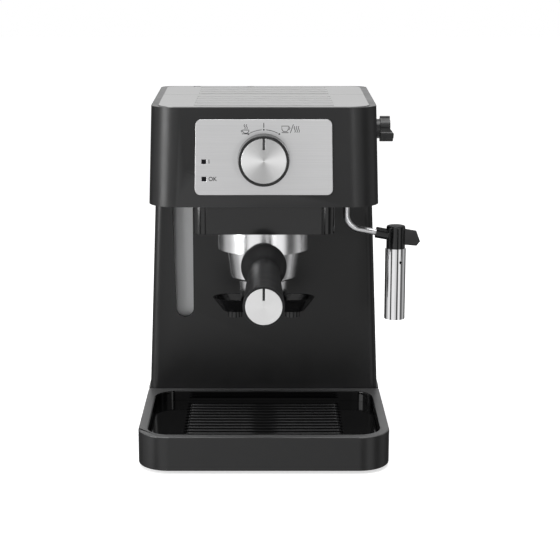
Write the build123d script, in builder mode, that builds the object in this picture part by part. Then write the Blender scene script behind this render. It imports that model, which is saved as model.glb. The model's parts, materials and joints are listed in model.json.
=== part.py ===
"""Pump espresso machine for home use, as an assembly of separate pieces.

Frame: +Z up, the front (drip tray, brew handle) faces -Y, the steam wand is on the +X side.
Origin: on the counter, in the middle of the four feet. All sizes are in millimetres.
"""

import os

from build123d import *

os.makedirs("parts", exist_ok=True)

# Driving dimensions: overall envelope
OVERALL_HEIGHT = 289.0  # counter to the top of the beads on the cup plate
BASE_WIDTH = 203.0  # drip tray
TRAY_FRONT = 129.0  # middle of the feet to the front of the drip tray
REAR_DEPTH = 108.0  # middle of the feet to the rear cover
TRAY_REACH = 140.0  # front of the drip tray to the splash face of the column
HOUSING_REACH = 100.0  # splash face of the column to the front of the housing
HOUSING_HEIGHT = 80.0  # underside of the housing to the top of the beads
COLUMN_FOOT_WIDTH = 202.0
COLUMN_HEAD_WIDTH = 186.0
HOUSING_FOOT_WIDTH = 184.5
HOUSING_HEAD_WIDTH = 179.0
HOUSING_FLARE = 6.0
WALL = 2.5  # moulded casing wall
RUN_GAP = 0.3  # clearance between pieces that move past each other
FIT_GAP = 0.1  # clearance around pieces that are only pushed together

# Driving dimensions: base, feet and drip tray
FOOT_HEIGHT = 4.0
FOOT_RADIUS = 7.5
FOOT_STEM_RADIUS = 3.0
FOOT_SPAN_X = 160.0
FOOT_SPAN_Y = 190.0
BASE_THICKNESS = 4.2
TONGUE_WIDTH = 182.0
TONGUE_INSET = 12.0  # tray front to the front of the base tongue
TONGUE_RADIUS = 20.0
TRAY_CLEARANCE = 2.6  # counter to the tray's skirt
TRAY_RIM_HEIGHT = 31.0
TRAY_RADIUS = 26.0
TRAY_RIM_WIDTH = 8.0
TRAY_FLOOR = 2.4
TRAY_SKIRT = 3.0
GRID_TOP = 22.0
GRID_THICKNESS = 2.4
GRID_SLOT_LENGTH = 132.0
GRID_SLOT_WIDTH = 4.2
GRID_SLOT_PITCH = 8.0
GRID_SLOT_COUNT = 14
GRID_LEG_RADIUS = 4.0
GRID_LEG_INSET = 14.0

# Driving dimensions: column, rear cover and water tank
COLUMN_RADIUS = 7.0
COVER_THICKNESS = 2.5
COVER_RADIUS = 3.0
WINDOW_CENTRE_X = -70.2
WINDOW_HEAD_WIDTH = 18.0
WINDOW_FOOT_WIDTH = 15.0
WINDOW_BOTTOM = 95.8
TANK_SIDE_GAP = 0.5  # tank to the opening it lifts out through
TANK_RIGHT = 12.0
TANK_EAR_DEPTH = 6.5  # tank's rear wall to the hinge axis
TANK_WALL = 2.0
TANK_BOTTOM = 94.3
TANK_HEADROOM = 8.3  # tank's mouth below the lid
TANK_EDGE_RADIUS = 6.0
TANK_HANDLE_WIDTH = 12.0
TANK_HANDLE_HEIGHT = 4.0
SHELF_THICKNESS = 4.0
SHELF_LEG_WIDTH = 10.0
VALVE_RADIUS = 7.0
VALVE_LENGTH = 14.0
VENT_LENGTH = 70.0
VENT_WIDTH = 3.0
VENT_PITCH = 8.0
VENT_COUNT = 6
VENT_HEIGHT = 150.0
GLAND_BORE = 4.0
GLAND_RADIUS = 7.0
GLAND_FLANGE = 9.5
GLAND_X = 62.0
GLAND_Z = 34.0

# Driving dimensions: housing, deck plates and lid hinge
HOUSING_RADIUS = 24.0  # upright edges at the front
HOUSING_REAR_RADIUS = 12.0  # upright edges at the rear
RIM_WIDTH = 6.0
RIM_FRONT = 3.0
RIM_LEDGE = 2.2
RIM_THICKNESS = 3.0
DECK_DEPTH = 6.0  # depth of the recess that the deck plates sit in
DECK_PROUD = 0.5  # how far the plates stand above the housing's rim
SEAM_SETBACK = 7.0  # splash face to the joint between the cup plate and the tank lid
SEAM_GAP = 0.8
PLATE_SHEET = 1.0
PLATE_SKIRT = 2.0
BEAD_HEIGHT = 0.5
BEAD_LENGTH = 111.0
BEAD_WIDTH = 11.0
BEAD_PITCH = 18.0
CUP_PLATE_BEAD_COUNT = 5
LID_BEAD_COUNT = 4
LID_SKIN = 0.8
LID_REAR_GAP = 1.6
LID_CORNER = 12.0  # rear corners, round enough to clear the rim as the lid opens
LID_REAR_BAND = 12.0
HINGE_DEPTH = 2.5  # hinge axis below the plate
HINGE_INSET = 3.0  # hinge axis in from the lid's rear edge
HINGE_PIN_RADIUS = 1.2
HINGE_PIN_LENGTH = 17.0
HINGE_EAR_RADIUS = 2.3
HINGE_EAR_WIDTH = 5.0
HINGE_EARS_X = (-60.0, -12.0)

# Driving dimensions: control panel, selector knob and indicator lamps
PANEL_FOOT_WIDTH = 109.5
PANEL_HEAD_WIDTH = 107.0
PANEL_HEIGHT = 60.0
PANEL_RISE = 40.0  # housing's underside to the panel's middle
PANEL_THICKNESS = 1.2
PANEL_RADIUS = 4.5
KNOB_RISE = 38.3  # housing's underside to the knob's axis
KNOB_BASE_RADIUS = 20.8
KNOB_FACE_RADIUS = 20.0
KNOB_CAP_RADIUS = 17.8
KNOB_LENGTH = 10.0
KNOB_CAP_THICKNESS = 1.2
KNOB_SHAFT_RADIUS = 3.0
POINTER_WIDTH = 1.8
POINTER_LENGTH = 9.0
SWITCH_WIDTH = 30.0
SWITCH_LENGTH = 22.0
LAMP_SIZE = 3.4
LAMP_X = -47.3
LAMP_RISES = (22.8, 36.6)  # housing's underside to each lamp
LAMP_BOARD_THICKNESS = 1.6

# Driving dimensions: brew group, boiler and brew handle
GROUP_SETBACK = 47.0  # housing front to the group's axis
COLLAR_WIDTH = 114.0
COLLAR_SETBACK = 5.0  # housing front to the collar's face
COLLAR_HEIGHT = 23.0
COLLAR_RADIUS = 10.0
COLLAR_GROOVE = 0.6  # joint line between the collar's face and its round corners
GROUP_RADIUS = 39.5
GROUP_BORE = 36.0
GROUP_ROOF = 6.0
GROUP_FLANGE = 3.5
GROUP_FLANGE_BORE = 32.4
SEAL_OUTER = 33.0
SEAL_INNER = 26.0
SEAL_HEIGHT = 6.0
SCREEN_RADIUS = 25.4
SCREEN_THICKNESS = 2.0
WATERWAY_RADIUS = 3.0
BOILER_SETBACK = 16.5  # group's axis to the boiler's axis
BOILER_RADIUS = 29.5
BOILER_FLANGE_RADIUS = 36.5
BOILER_FLANGE = 5.0
BOILER_LOWER = 24.0
BOILER_UPPER = 26.0
BOILER_WALL = 4.0
BOILER_SEAL = 1.5
BOILER_SCREWS = 6
BOILER_SCREW_CIRCLE = 33.0
BOILER_NIPPLE_LENGTH = 10.0
STEAM_FEED_RADIUS = 2.2
STEAM_FEED_BORE = 1.3
STEAM_FEED_RISE = 50.8  # housing's underside to the feed pipe
THERMOSTAT_RADIUS = 8.0
THERMOSTAT_HEIGHT = 7.0
THERMOSTAT_OFFSET = 13.0
SCREEN_HOLE = 0.7
SCREEN_RING_COUNTS = (8, 14, 20)
SCREEN_RING_RADII = (8.0, 13.5, 19.0)
LUG_ANGLE = 40.0
LUG_REACH = 35.0
LUG_HEIGHT = 5.0
UNLOCK_ANGLE = 45.0
HOLDER_RING_RADIUS = 38.0
HOLDER_RING_DROP = 41.0  # these drops are all from the housing's underside
HOLDER_NECK_RADIUS = 31.0
HOLDER_SHOULDER_RADIUS = 31.0
HOLDER_BODY_RADIUS = 27.4
HOLDER_BODY_DROP = 66.0
HOLDER_CAVITY_RADIUS = 26.6
HOLDER_CAVITY_DROP = 59.0
STEM_TOP_RADIUS = 21.0
STEM_FOOT_RADIUS = 19.5
STEM_DROP = 81.5
BASKET_RADIUS = 25.6
BASKET_RIM_RADIUS = 30.4
BASKET_SHEET = 0.6
BASKET_DROP = 37.0
SPOUT_SPAN = 85.0
SPOUT_DEPTH = 27.0
SPOUT_FOOT_SPAN = 68.0
SPOUT_FOOT_DEPTH = 18.0
SPOUT_WALL = 1.6
SPOUT_HEIGHT = 11.0
SPOUT_DROP = 2.0
SPOUT_HUB_LENGTH = 30.0
SPOUT_OUTLET_X = 24.0
SPOUT_OUTLET_RADIUS = 6.0
SPOUT_OUTLET_BORE = 4.2
SPOUT_FOOT_DROP = 100.0
HANDLE_BOSS_RADIUS = 9.0
HANDLE_ROOT_REACH = 39.0  # these reaches are all from the group's axis
HANDLE_ROOT_WIDTH = 37.0
HANDLE_ROOT_HEIGHT = 38.0
HANDLE_ROOT_DROP = 49.5
HANDLE_WAIST_WIDTH = 25.5
HANDLE_WAIST_HEIGHT = 26.5
HANDLE_WAIST_REACH = 57.0
HANDLE_WAIST_DROP = 53.0
HANDLE_FLARE_COUNT = 4
HANDLE_END_RADIUS = 15.5
HANDLE_END_REACH = 159.0
HANDLE_END_DROP = 55.0
END_CAP_RADIUS = 13.6
END_CAP_THICKNESS = 1.2

# Driving dimensions: steam side
STEAM_KNOB_SETBACK = 54.0  # housing front to the knob's axis
STEAM_KNOB_RISE = 56.5  # housing's underside to the knob's axis
STEAM_KNOB_RADIUS = 10.5
STEAM_KNOB_LENGTH = 14.5
STEAM_KNOB_NECK = 6.0
THUMB_STEP = 2.9  # the knob's lower half stands out by this much
THUMB_SLOPE_HIGH = 0.8
THUMB_SLOPE_LOW = 3.2
STEAM_STEM_RADIUS = 3.0
STEAM_VALVE_LEFT = 55.0
STEAM_VALVE_RIGHT = 78.0
STEAM_VALVE_SIZE = 18.0
WAND_X = 68.3
WAND_SETBACK = 49.0  # housing front to the wand's axis
WAND_TUBE_RADIUS = 2.6
WAND_TUBE_BORE = 1.4
WAND_BEND_RADIUS = 13.0
WAND_ELBOW_DROP = 24.5
WAND_JOINT_X = 109.5
WAND_JOINT_DROP = 32.5
WAND_JOINT_RADIUS = 7.8
WAND_JOINT_HEIGHT = 18.5
WAND_SOCKET_RADIUS = 4.6
WAND_SOCKET_LENGTH = 9.0
WAND_TAB_REACH = 20.0
WAND_TAB_HEIGHT = 15.0
WAND_TAB_THICKNESS = 5.0
NOZZLE_RADIUS = 4.0
NOZZLE_BORE = 1.2
NOZZLE_LENGTH = 46.0
FROTHER_RADIUS = 8.6
FROTHER_WALL = 1.1
FROTHER_LENGTH = 60.0
FROTHER_AIR_HOLE = 1.2
FROTHER_HOLE_TURN = 26.0  # air hole to the right of the front
GLAND_NUT_RADIUS = 8.0
GLAND_NUT_HEIGHT = 10.0

# Driving dimensions: pump, hoses and screws
PUMP_X = 52.0
PUMP_MOUNT_HEIGHT = 12.0
PUMP_COIL_WIDTH = 44.0
PUMP_COIL_HEIGHT = 40.0
PUMP_BARREL_RADIUS = 15.0
PUMP_BARREL_HEIGHT = 30.0
PUMP_PORT_RADIUS = 4.0
PUMP_PORT_LENGTH = 12.0
PUMP_MOUNT_RADIUS = 9.0
HOSE_RADIUS = 3.6
HOSE_BORE = 2.0
SCREW_RADIUS = 1.6
SCREW_HEAD_RADIUS = 3.4
SCREW_HEAD_HEIGHT = 2.2
SCREW_LENGTH = 14.0
BOSS_RADIUS = 4.2

# Places worked out from the driving dimensions
tray_front = -TRAY_FRONT
rear_face = REAR_DEPTH
splash_y = tray_front + TRAY_REACH
housing_front = splash_y - HOUSING_REACH
housing_bottom = OVERALL_HEIGHT - HOUSING_HEIGHT
cover_face = rear_face - COVER_THICKNESS
base_top = FOOT_HEIGHT + BASE_THICKNESS
plate_top = OVERALL_HEIGHT - BEAD_HEIGHT
housing_top = plate_top - DECK_PROUD
ledge_z = plate_top - DECK_DEPTH
housing_flare = HOUSING_FLARE / (rear_face - housing_front)
deck_width = HOUSING_HEAD_WIDTH - 2 * RIM_WIDTH
deck_front = housing_front + RIM_FRONT
deck_rear = rear_face - RIM_WIDTH
deck_radius = HOUSING_RADIUS - RIM_WIDTH
deck_rear_radius = HOUSING_REAR_RADIUS - RIM_WIDTH
seam_y = splash_y + SEAM_SETBACK
lid_front = seam_y + SEAM_GAP / 2
lid_rear = deck_rear - LID_REAR_GAP
hinge_y = lid_rear - HINGE_INSET
hinge_z = plate_top - HINGE_DEPTH
floor_top = housing_bottom + WALL
panel_face = housing_front - PANEL_THICKNESS
panel_centre_z = housing_bottom + PANEL_RISE
knob_centre_z = housing_bottom + KNOB_RISE
lamp_heights = [housing_bottom + rise for rise in LAMP_RISES]
tank_left = -deck_width / 2 + RIM_LEDGE + TANK_SIDE_GAP
tank_front = lid_front + RUN_GAP
tank_rear = hinge_y - TANK_EAR_DEPTH
tank_top = ledge_z - TANK_HEADROOM
tank_middle_x = (tank_left + TANK_RIGHT) / 2
tank_middle_y = (tank_front + tank_rear) / 2
pump_y = tank_middle_y
shelf_top = TANK_BOTTOM - RUN_GAP
collar_front = housing_front + COLLAR_SETBACK
collar_bottom = housing_bottom - COLLAR_HEIGHT
group_y = housing_front + GROUP_SETBACK
group_roof_z = housing_bottom - GROUP_ROOF
lug_bottom = collar_bottom + GROUP_FLANGE + RUN_GAP
boiler_y = group_y + BOILER_SETBACK
boiler_split = floor_top + BOILER_LOWER
holder_top = group_roof_z - SEAL_HEIGHT - RUN_GAP - BASKET_SHEET
holder_ring_bottom = housing_bottom - HOLDER_RING_DROP
holder_body_bottom = housing_bottom - HOLDER_BODY_DROP
holder_cavity_floor = housing_bottom - HOLDER_CAVITY_DROP
stem_bottom = housing_bottom - STEM_DROP
basket_bottom = housing_bottom - BASKET_DROP
spout_bottom = housing_bottom - SPOUT_FOOT_DROP
handle_root_y = group_y - HANDLE_ROOT_REACH
handle_root_z = housing_bottom - HANDLE_ROOT_DROP
handle_waist_y = group_y - HANDLE_WAIST_REACH
handle_waist_z = housing_bottom - HANDLE_WAIST_DROP
handle_end_y = group_y - HANDLE_END_REACH
handle_end_z = housing_bottom - HANDLE_END_DROP
steam_feed_z = housing_bottom + STEAM_FEED_RISE
steam_knob_y = housing_front + STEAM_KNOB_SETBACK
steam_knob_z = housing_bottom + STEAM_KNOB_RISE
wand_y = housing_front + WAND_SETBACK
wand_elbow_z = housing_bottom - WAND_ELBOW_DROP
wand_joint_z = housing_bottom - WAND_JOINT_DROP


def save(piece, name):
    """Labels a finished piece and writes its STEP file."""
    piece.part.label = name
    export_step(piece.part, f"parts/{name}.step")


def half_width(level, low, high, low_width, high_width):
    """Half the width, at a height, of a casing whose sides lean in evenly."""
    return (low_width + (high_width - low_width) * (level - low) / (high - low)) / 2


def rounded_plan(width, front, rear, front_radius, rear_radius, flare=0.0):
    """Plan of a casing that may widen to the rear, with its front and rear corners rounded."""
    front_half = (width + flare * (front - housing_front)) / 2
    rear_half = (width + flare * (rear - housing_front)) / 2
    with BuildSketch() as plan:
        Polygon(
            (-front_half, front),
            (front_half, front),
            (rear_half, rear),
            (-rear_half, rear),
            align=None,
        )
        fillet(plan.vertices().group_by(Axis.Y)[0], front_radius)
        fillet(plan.vertices().group_by(Axis.Y)[-1], rear_radius)
    return plan.sketch


def tapered_box(low_width, high_width, front, rear, bottom, top, front_radius, rear_radius, flare=0.0):
    """Upright block whose sides lean in towards the top, with its upright edges rounded."""
    with BuildPart() as block:
        for width, level in ((low_width, bottom), (high_width, top)):
            with BuildSketch(Plane.XY.offset(level)):
                add(rounded_plan(width, front, rear, front_radius, rear_radius, flare))
        loft(ruled=True)
    return block.part


def upright_slab(left, right, front, rear, bottom, top, radius):
    """Straight block with its upright edges rounded."""
    with BuildPart() as slab:
        with BuildSketch(Plane.XY.offset(bottom)):
            with Locations(((left + right) / 2, (front + rear) / 2)):
                RectangleRounded(right - left, rear - front, radius)
        extrude(amount=top - bottom)
    return slab.part


def tray_outline(inset, rear, radius):
    """Plan of the drip tray, drawn in by an inset, with its two front corners rounded."""
    with BuildSketch() as outline:
        with Locations((0, (tray_front + inset + rear) / 2)):
            Rectangle(BASE_WIDTH - 2 * inset, rear - tray_front - inset)
        fillet(outline.vertices().group_by(Axis.Y)[0], radius)
    return outline.sketch


def deck_outline(front, rear, inset):
    """Plan of the steel deck between two depths, drawn in by an inset."""
    with BuildSketch() as outline:
        add(
            rounded_plan(
                deck_width - 2 * inset,
                deck_front + inset,
                deck_rear - inset,
                deck_radius - inset,
                deck_rear_radius - inset,
                housing_flare,
            )
        )
        with Locations((0, (front + rear) / 2)):
            Rectangle(HOUSING_FOOT_WIDTH + HOUSING_FLARE, rear - front, mode=Mode.INTERSECT)
    return outline.sketch


def lid_outline():
    """Plan of the tank lid, its rear corners cut round so that they clear the rim as it opens."""
    with BuildSketch() as outline:
        add(rounded_plan(deck_width, deck_front, lid_rear, deck_radius, LID_CORNER, housing_flare))
        with Locations((0, (lid_front + lid_rear) / 2)):
            Rectangle(deck_width + HOUSING_FLARE, lid_rear - lid_front, mode=Mode.INTERSECT)
    return outline.sketch


def sector(radius, middle, sweep):
    """Wedge about the group's axis, centred on an angle."""
    with BuildSketch() as wedge:
        with BuildLine():
            arc = CenterArc((0, group_y), radius, middle - sweep / 2, sweep)
            Line((0, group_y), arc @ 0)
            Line((0, group_y), arc @ 1)
        make_face()
    return wedge.sketch


def hose(points, radius):
    """Bored hose along straight runs with rounded corners."""
    with BuildPart() as tube:
        with BuildLine() as route:
            FilletPolyline(*points, radius=radius)
        with BuildSketch(Plane(route.line @ 0, z_dir=route.line % 0)):
            Circle(HOSE_RADIUS)
            Circle(HOSE_BORE, mode=Mode.SUBTRACT)
        sweep(path=route.line)
    return tube


# Base plate: the rear carries the column, and a tongue runs under the drip tray
foot_x = FOOT_SPAN_X / 2
foot_y = FOOT_SPAN_Y / 2
foot_places = [(x, y) for x in (-foot_x, foot_x) for y in (-foot_y, foot_y)]
boss_x = COLUMN_FOOT_WIDTH / 2 - WALL - BOSS_RADIUS * 0.8
boss_front = splash_y + COLUMN_RADIUS + BOSS_RADIUS
boss_rear = cover_face - COLUMN_RADIUS - BOSS_RADIUS
boss_places = [(x, y) for x in (-boss_x, boss_x) for y in (boss_front, boss_rear)]

with BuildPart() as base_plate:
    with BuildSketch(Plane.XY.offset(FOOT_HEIGHT)):
        with Locations((0, (splash_y + rear_face) / 2)):
            RectangleRounded(BASE_WIDTH, rear_face - splash_y, COLUMN_RADIUS)
        with Locations((0, (tray_front + TONGUE_INSET + rear_face) / 2)):
            RectangleRounded(TONGUE_WIDTH, rear_face - tray_front - TONGUE_INSET, TONGUE_RADIUS)
    extrude(amount=BASE_THICKNESS)
    with Locations(*[(x, y, base_top) for x, y in foot_places]):
        Hole(FOOT_STEM_RADIUS)
    with Locations(Location((0, 0, FOOT_HEIGHT), (180, 0, 0))):
        with Locations(*[(x, -y) for x, y in boss_places]):
            CounterBoreHole(SCREW_RADIUS + FIT_GAP, SCREW_HEAD_RADIUS + FIT_GAP, SCREW_HEAD_HEIGHT)
save(base_plate, "base_plate")

# Rubber feet: a pad with a stem pushed into the base plate
with BuildPart() as feet:
    with BuildSketch():
        with Locations(*foot_places):
            Circle(FOOT_RADIUS)
    extrude(amount=FOOT_HEIGHT)
    with BuildSketch(Plane.XY.offset(FOOT_HEIGHT)):
        with Locations(*foot_places):
            Circle(FOOT_STEM_RADIUS - FIT_GAP)
    extrude(amount=BASE_THICKNESS)
save(feet, "rubber_feet")

# Base screws: up through the base plate into the column's bosses
with BuildPart() as base_screws:
    with BuildSketch(Plane.XY.offset(FOOT_HEIGHT)):
        with Locations(*boss_places):
            Circle(SCREW_HEAD_RADIUS)
    extrude(amount=SCREW_HEAD_HEIGHT)
    with BuildSketch(Plane.XY.offset(FOOT_HEIGHT + SCREW_HEAD_HEIGHT)):
        with Locations(*boss_places):
            Circle(SCREW_RADIUS)
    extrude(amount=SCREW_LENGTH)
save(base_screws, "base_screws")

# Column shell: front splash wall and two leaning sides in one moulding, open at the rear
boss_height = SCREW_LENGTH + SCREW_HEAD_HEIGHT
rear_boss_levels = (base_top + 3 * BOSS_RADIUS + boss_height, housing_bottom - 3 * BOSS_RADIUS)
rear_boss_places = [
    (
        side
        * (
            half_width(level, base_top, housing_bottom, COLUMN_FOOT_WIDTH, COLUMN_HEAD_WIDTH)
            - WALL
            - BOSS_RADIUS * 0.8
        ),
        level,
    )
    for side in (-1, 1)
    for level in rear_boss_levels
]
window_radius = WINDOW_FOOT_WIDTH / 2
window_right = WINDOW_CENTRE_X + WINDOW_HEAD_WIDTH / 2
window_foot_x = window_right - window_radius

with BuildPart() as column_shell:
    add(
        tapered_box(
            COLUMN_FOOT_WIDTH,
            COLUMN_HEAD_WIDTH,
            splash_y,
            rear_face,
            base_top,
            housing_bottom,
            COLUMN_RADIUS,
            COLUMN_RADIUS,
        )
    )
    plinth_half = BASE_WIDTH / 2
    add(upright_slab(-plinth_half, plinth_half, splash_y, rear_face, base_top, TRAY_RIM_HEIGHT, COLUMN_RADIUS))
    add(
        tapered_box(
            COLUMN_FOOT_WIDTH - 2 * WALL,
            COLUMN_HEAD_WIDTH - 2 * WALL,
            splash_y + WALL,
            rear_face + COLUMN_RADIUS,
            base_top,
            housing_bottom,
            COLUMN_RADIUS - WALL,
            COLUMN_RADIUS - WALL,
        ),
        mode=Mode.SUBTRACT,
    )
    split(bisect_by=Plane.XZ.offset(-cover_face), keep=Keep.TOP)
    with BuildSketch(Plane.XY.offset(base_top)):
        with Locations(*boss_places):
            Circle(BOSS_RADIUS)
    extrude(amount=boss_height)
    with BuildSketch(Plane.XZ.offset(-cover_face)):
        with Locations(*rear_boss_places):
            Circle(BOSS_RADIUS)
    extrude(amount=boss_height)
    with BuildSketch(Plane.XY.offset(base_top)):
        with Locations(*boss_places):
            Circle(SCREW_RADIUS + FIT_GAP)
    extrude(amount=SCREW_LENGTH, mode=Mode.SUBTRACT)
    with BuildSketch(Plane.XZ.offset(-cover_face)):
        with Locations(*rear_boss_places):
            Circle(SCREW_RADIUS + FIT_GAP)
    extrude(amount=SCREW_LENGTH, mode=Mode.SUBTRACT)
    with BuildSketch(Plane.XZ.offset(-splash_y - WALL)):
        with BuildLine():
            Polyline(
                (window_foot_x + window_radius, WINDOW_BOTTOM + window_radius),
                (window_right, housing_bottom),
                (window_right - WINDOW_HEAD_WIDTH, housing_bottom),
                (window_foot_x - window_radius, WINDOW_BOTTOM + window_radius),
                close=True,
            )
        make_face()
        with Locations((window_foot_x, WINDOW_BOTTOM + window_radius)):
            Circle(window_radius)
    extrude(amount=2 * WALL, mode=Mode.SUBTRACT)
save(column_shell, "column_shell")

# Rear cover: flat panel with cooling slots and the hole for the mains inlet gland
cover_half_low = COLUMN_FOOT_WIDTH / 2
cover_half_high = COLUMN_HEAD_WIDTH / 2
with BuildPart() as rear_cover:
    with BuildSketch(Plane.XZ.offset(-rear_face)) as cover_sketch:
        with BuildLine():
            Polyline(
                (-cover_half_low, base_top),
                (cover_half_low, base_top),
                (cover_half_high, housing_bottom),
                (-cover_half_high, housing_bottom),
                close=True,
            )
        make_face()
        fillet(cover_sketch.vertices(), COVER_RADIUS)
        with Locations((0, VENT_HEIGHT)):
            with GridLocations(0, VENT_PITCH, 1, VENT_COUNT):
                SlotOverall(VENT_LENGTH, VENT_WIDTH, mode=Mode.SUBTRACT)
        with Locations((GLAND_X, GLAND_Z)):
            Circle(GLAND_RADIUS, mode=Mode.SUBTRACT)
        with Locations(*rear_boss_places):
            Circle(SCREW_RADIUS + FIT_GAP, mode=Mode.SUBTRACT)
    extrude(amount=COVER_THICKNESS)
save(rear_cover, "rear_cover")

# Rear screws: through the cover into the column's bosses, with their heads on the cover
with BuildPart() as rear_screws:
    with BuildSketch(Plane.XZ.offset(-rear_face)):
        with Locations(*rear_boss_places):
            Circle(SCREW_RADIUS)
    extrude(amount=SCREW_LENGTH)
    with BuildSketch(Plane.XZ.offset(-rear_face)):
        with Locations(*rear_boss_places):
            Circle(SCREW_HEAD_RADIUS)
    extrude(amount=-SCREW_HEAD_HEIGHT)
save(rear_screws, "rear_screws")

# Mains inlet gland: grooved rubber bush in the rear cover, with the bore for the lead
with BuildPart() as inlet_gland:
    with BuildSketch(Plane.XZ.offset(-rear_face)):
        with Locations((GLAND_X, GLAND_Z)):
            Circle(GLAND_RADIUS - FIT_GAP)
    extrude(amount=COVER_THICKNESS)
    for face_y, outward in ((rear_face, -1), (cover_face, 1)):
        with BuildSketch(Plane.XZ.offset(-face_y)):
            with Locations((GLAND_X, GLAND_Z)):
                Circle(GLAND_FLANGE)
        extrude(amount=outward * COVER_THICKNESS)
    with BuildSketch(Plane.XZ.offset(-rear_face - COVER_THICKNESS)):
        with Locations((GLAND_X, GLAND_Z)):
            Circle(GLAND_BORE)
    extrude(amount=3 * COVER_THICKNESS, mode=Mode.SUBTRACT)
save(inlet_gland, "mains_inlet_gland")

# Drip tray: a well with a broad rim, and a skirt that hides the base tongue
tray_rear = splash_y - RUN_GAP
tray_floor_z = base_top + RUN_GAP + TRAY_FLOOR
with BuildPart() as drip_tray:
    with BuildSketch(Plane.XY.offset(TRAY_CLEARANCE)):
        add(tray_outline(0, tray_rear, TRAY_RADIUS))
    extrude(amount=TRAY_RIM_HEIGHT - TRAY_CLEARANCE)
    with BuildSketch(Plane.XY.offset(tray_floor_z)):
        with Locations((0, (tray_front + tray_rear) / 2)):
            RectangleRounded(
                BASE_WIDTH - 2 * TRAY_RIM_WIDTH,
                tray_rear - tray_front - 2 * TRAY_RIM_WIDTH,
                TRAY_RADIUS - TRAY_RIM_WIDTH,
            )
    extrude(amount=TRAY_RIM_HEIGHT, mode=Mode.SUBTRACT)
    with BuildSketch(Plane.XY.offset(TRAY_CLEARANCE)):
        add(tray_outline(TRAY_SKIRT, splash_y, TRAY_RADIUS - TRAY_SKIRT))
    extrude(amount=tray_floor_z - TRAY_FLOOR - TRAY_CLEARANCE, mode=Mode.SUBTRACT)
save(drip_tray, "drip_tray")

# Cup grid: slotted plate on four short legs in the tray's well
grid_width = BASE_WIDTH - 2 * TRAY_RIM_WIDTH - 2 * RUN_GAP
grid_depth = tray_rear - tray_front - 2 * TRAY_RIM_WIDTH - 2 * RUN_GAP
grid_middle = (tray_front + tray_rear) / 2
with BuildPart() as cup_grid:
    with BuildSketch(Plane.XY.offset(GRID_TOP - GRID_THICKNESS)):
        with Locations((0, grid_middle)):
            RectangleRounded(grid_width, grid_depth, TRAY_RADIUS - TRAY_RIM_WIDTH - RUN_GAP)
            with GridLocations(0, GRID_SLOT_PITCH, 1, GRID_SLOT_COUNT):
                SlotOverall(GRID_SLOT_LENGTH, GRID_SLOT_WIDTH, mode=Mode.SUBTRACT)
    extrude(amount=GRID_THICKNESS)
    with BuildSketch(Plane.XY.offset(tray_floor_z)):
        with Locations((0, grid_middle)):
            with GridLocations(grid_width - 2 * GRID_LEG_INSET, grid_depth - 2 * GRID_LEG_INSET, 2, 2):
                Circle(GRID_LEG_RADIUS)
    extrude(amount=GRID_TOP - GRID_THICKNESS - tray_floor_z)
save(cup_grid, "cup_grid")

# Tank shelf: plate on legs that carries the water tank and holds the valve seat
shelf_left = tank_left
shelf_right = TANK_RIGHT
shelf_low = shelf_top - SHELF_THICKNESS
leg_span_x = shelf_right - shelf_left - 2 * SHELF_LEG_WIDTH
leg_span_y = tank_rear - tank_front - 3 * SHELF_LEG_WIDTH
with BuildPart() as tank_shelf:
    add(upright_slab(shelf_left, shelf_right, tank_front, tank_rear, shelf_low, shelf_top, TANK_WALL))
    with BuildSketch(Plane.XY.offset(base_top)):
        with Locations((tank_middle_x, tank_middle_y)):
            with GridLocations(leg_span_x, leg_span_y, 2, 2):
                RectangleRounded(SHELF_LEG_WIDTH, SHELF_LEG_WIDTH, TANK_WALL)
    extrude(amount=shelf_low - base_top)
    with Locations((tank_middle_x, tank_middle_y, shelf_top)):
        Hole(VALVE_RADIUS + RUN_GAP)
save(tank_shelf, "tank_shelf")

# Valve seat: cup under the shelf that the tank's valve plugs into, with a hose nipple below
seat_radius = VALVE_RADIUS + RUN_GAP + WALL
seat_top = shelf_low
seat_bottom = TANK_BOTTOM - VALVE_LENGTH - WALL
nipple_bottom = seat_bottom - PUMP_PORT_LENGTH
with BuildPart() as valve_seat:
    with BuildSketch(Plane.XY.offset(seat_bottom)):
        with Locations((tank_middle_x, tank_middle_y)):
            Circle(seat_radius)
    extrude(amount=seat_top - seat_bottom)
    with BuildSketch(Plane.XY.offset(seat_bottom + WALL - RUN_GAP)):
        with Locations((tank_middle_x, tank_middle_y)):
            Circle(VALVE_RADIUS + RUN_GAP)
    extrude(amount=seat_top - seat_bottom, mode=Mode.SUBTRACT)
    with BuildSketch(Plane.XY.offset(nipple_bottom)):
        with Locations((tank_middle_x, tank_middle_y)):
            Circle(PUMP_PORT_RADIUS)
    extrude(amount=PUMP_PORT_LENGTH)
    with Locations((tank_middle_x, tank_middle_y, seat_top)):
        Hole(HOSE_BORE)
save(valve_seat, "valve_seat")

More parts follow.
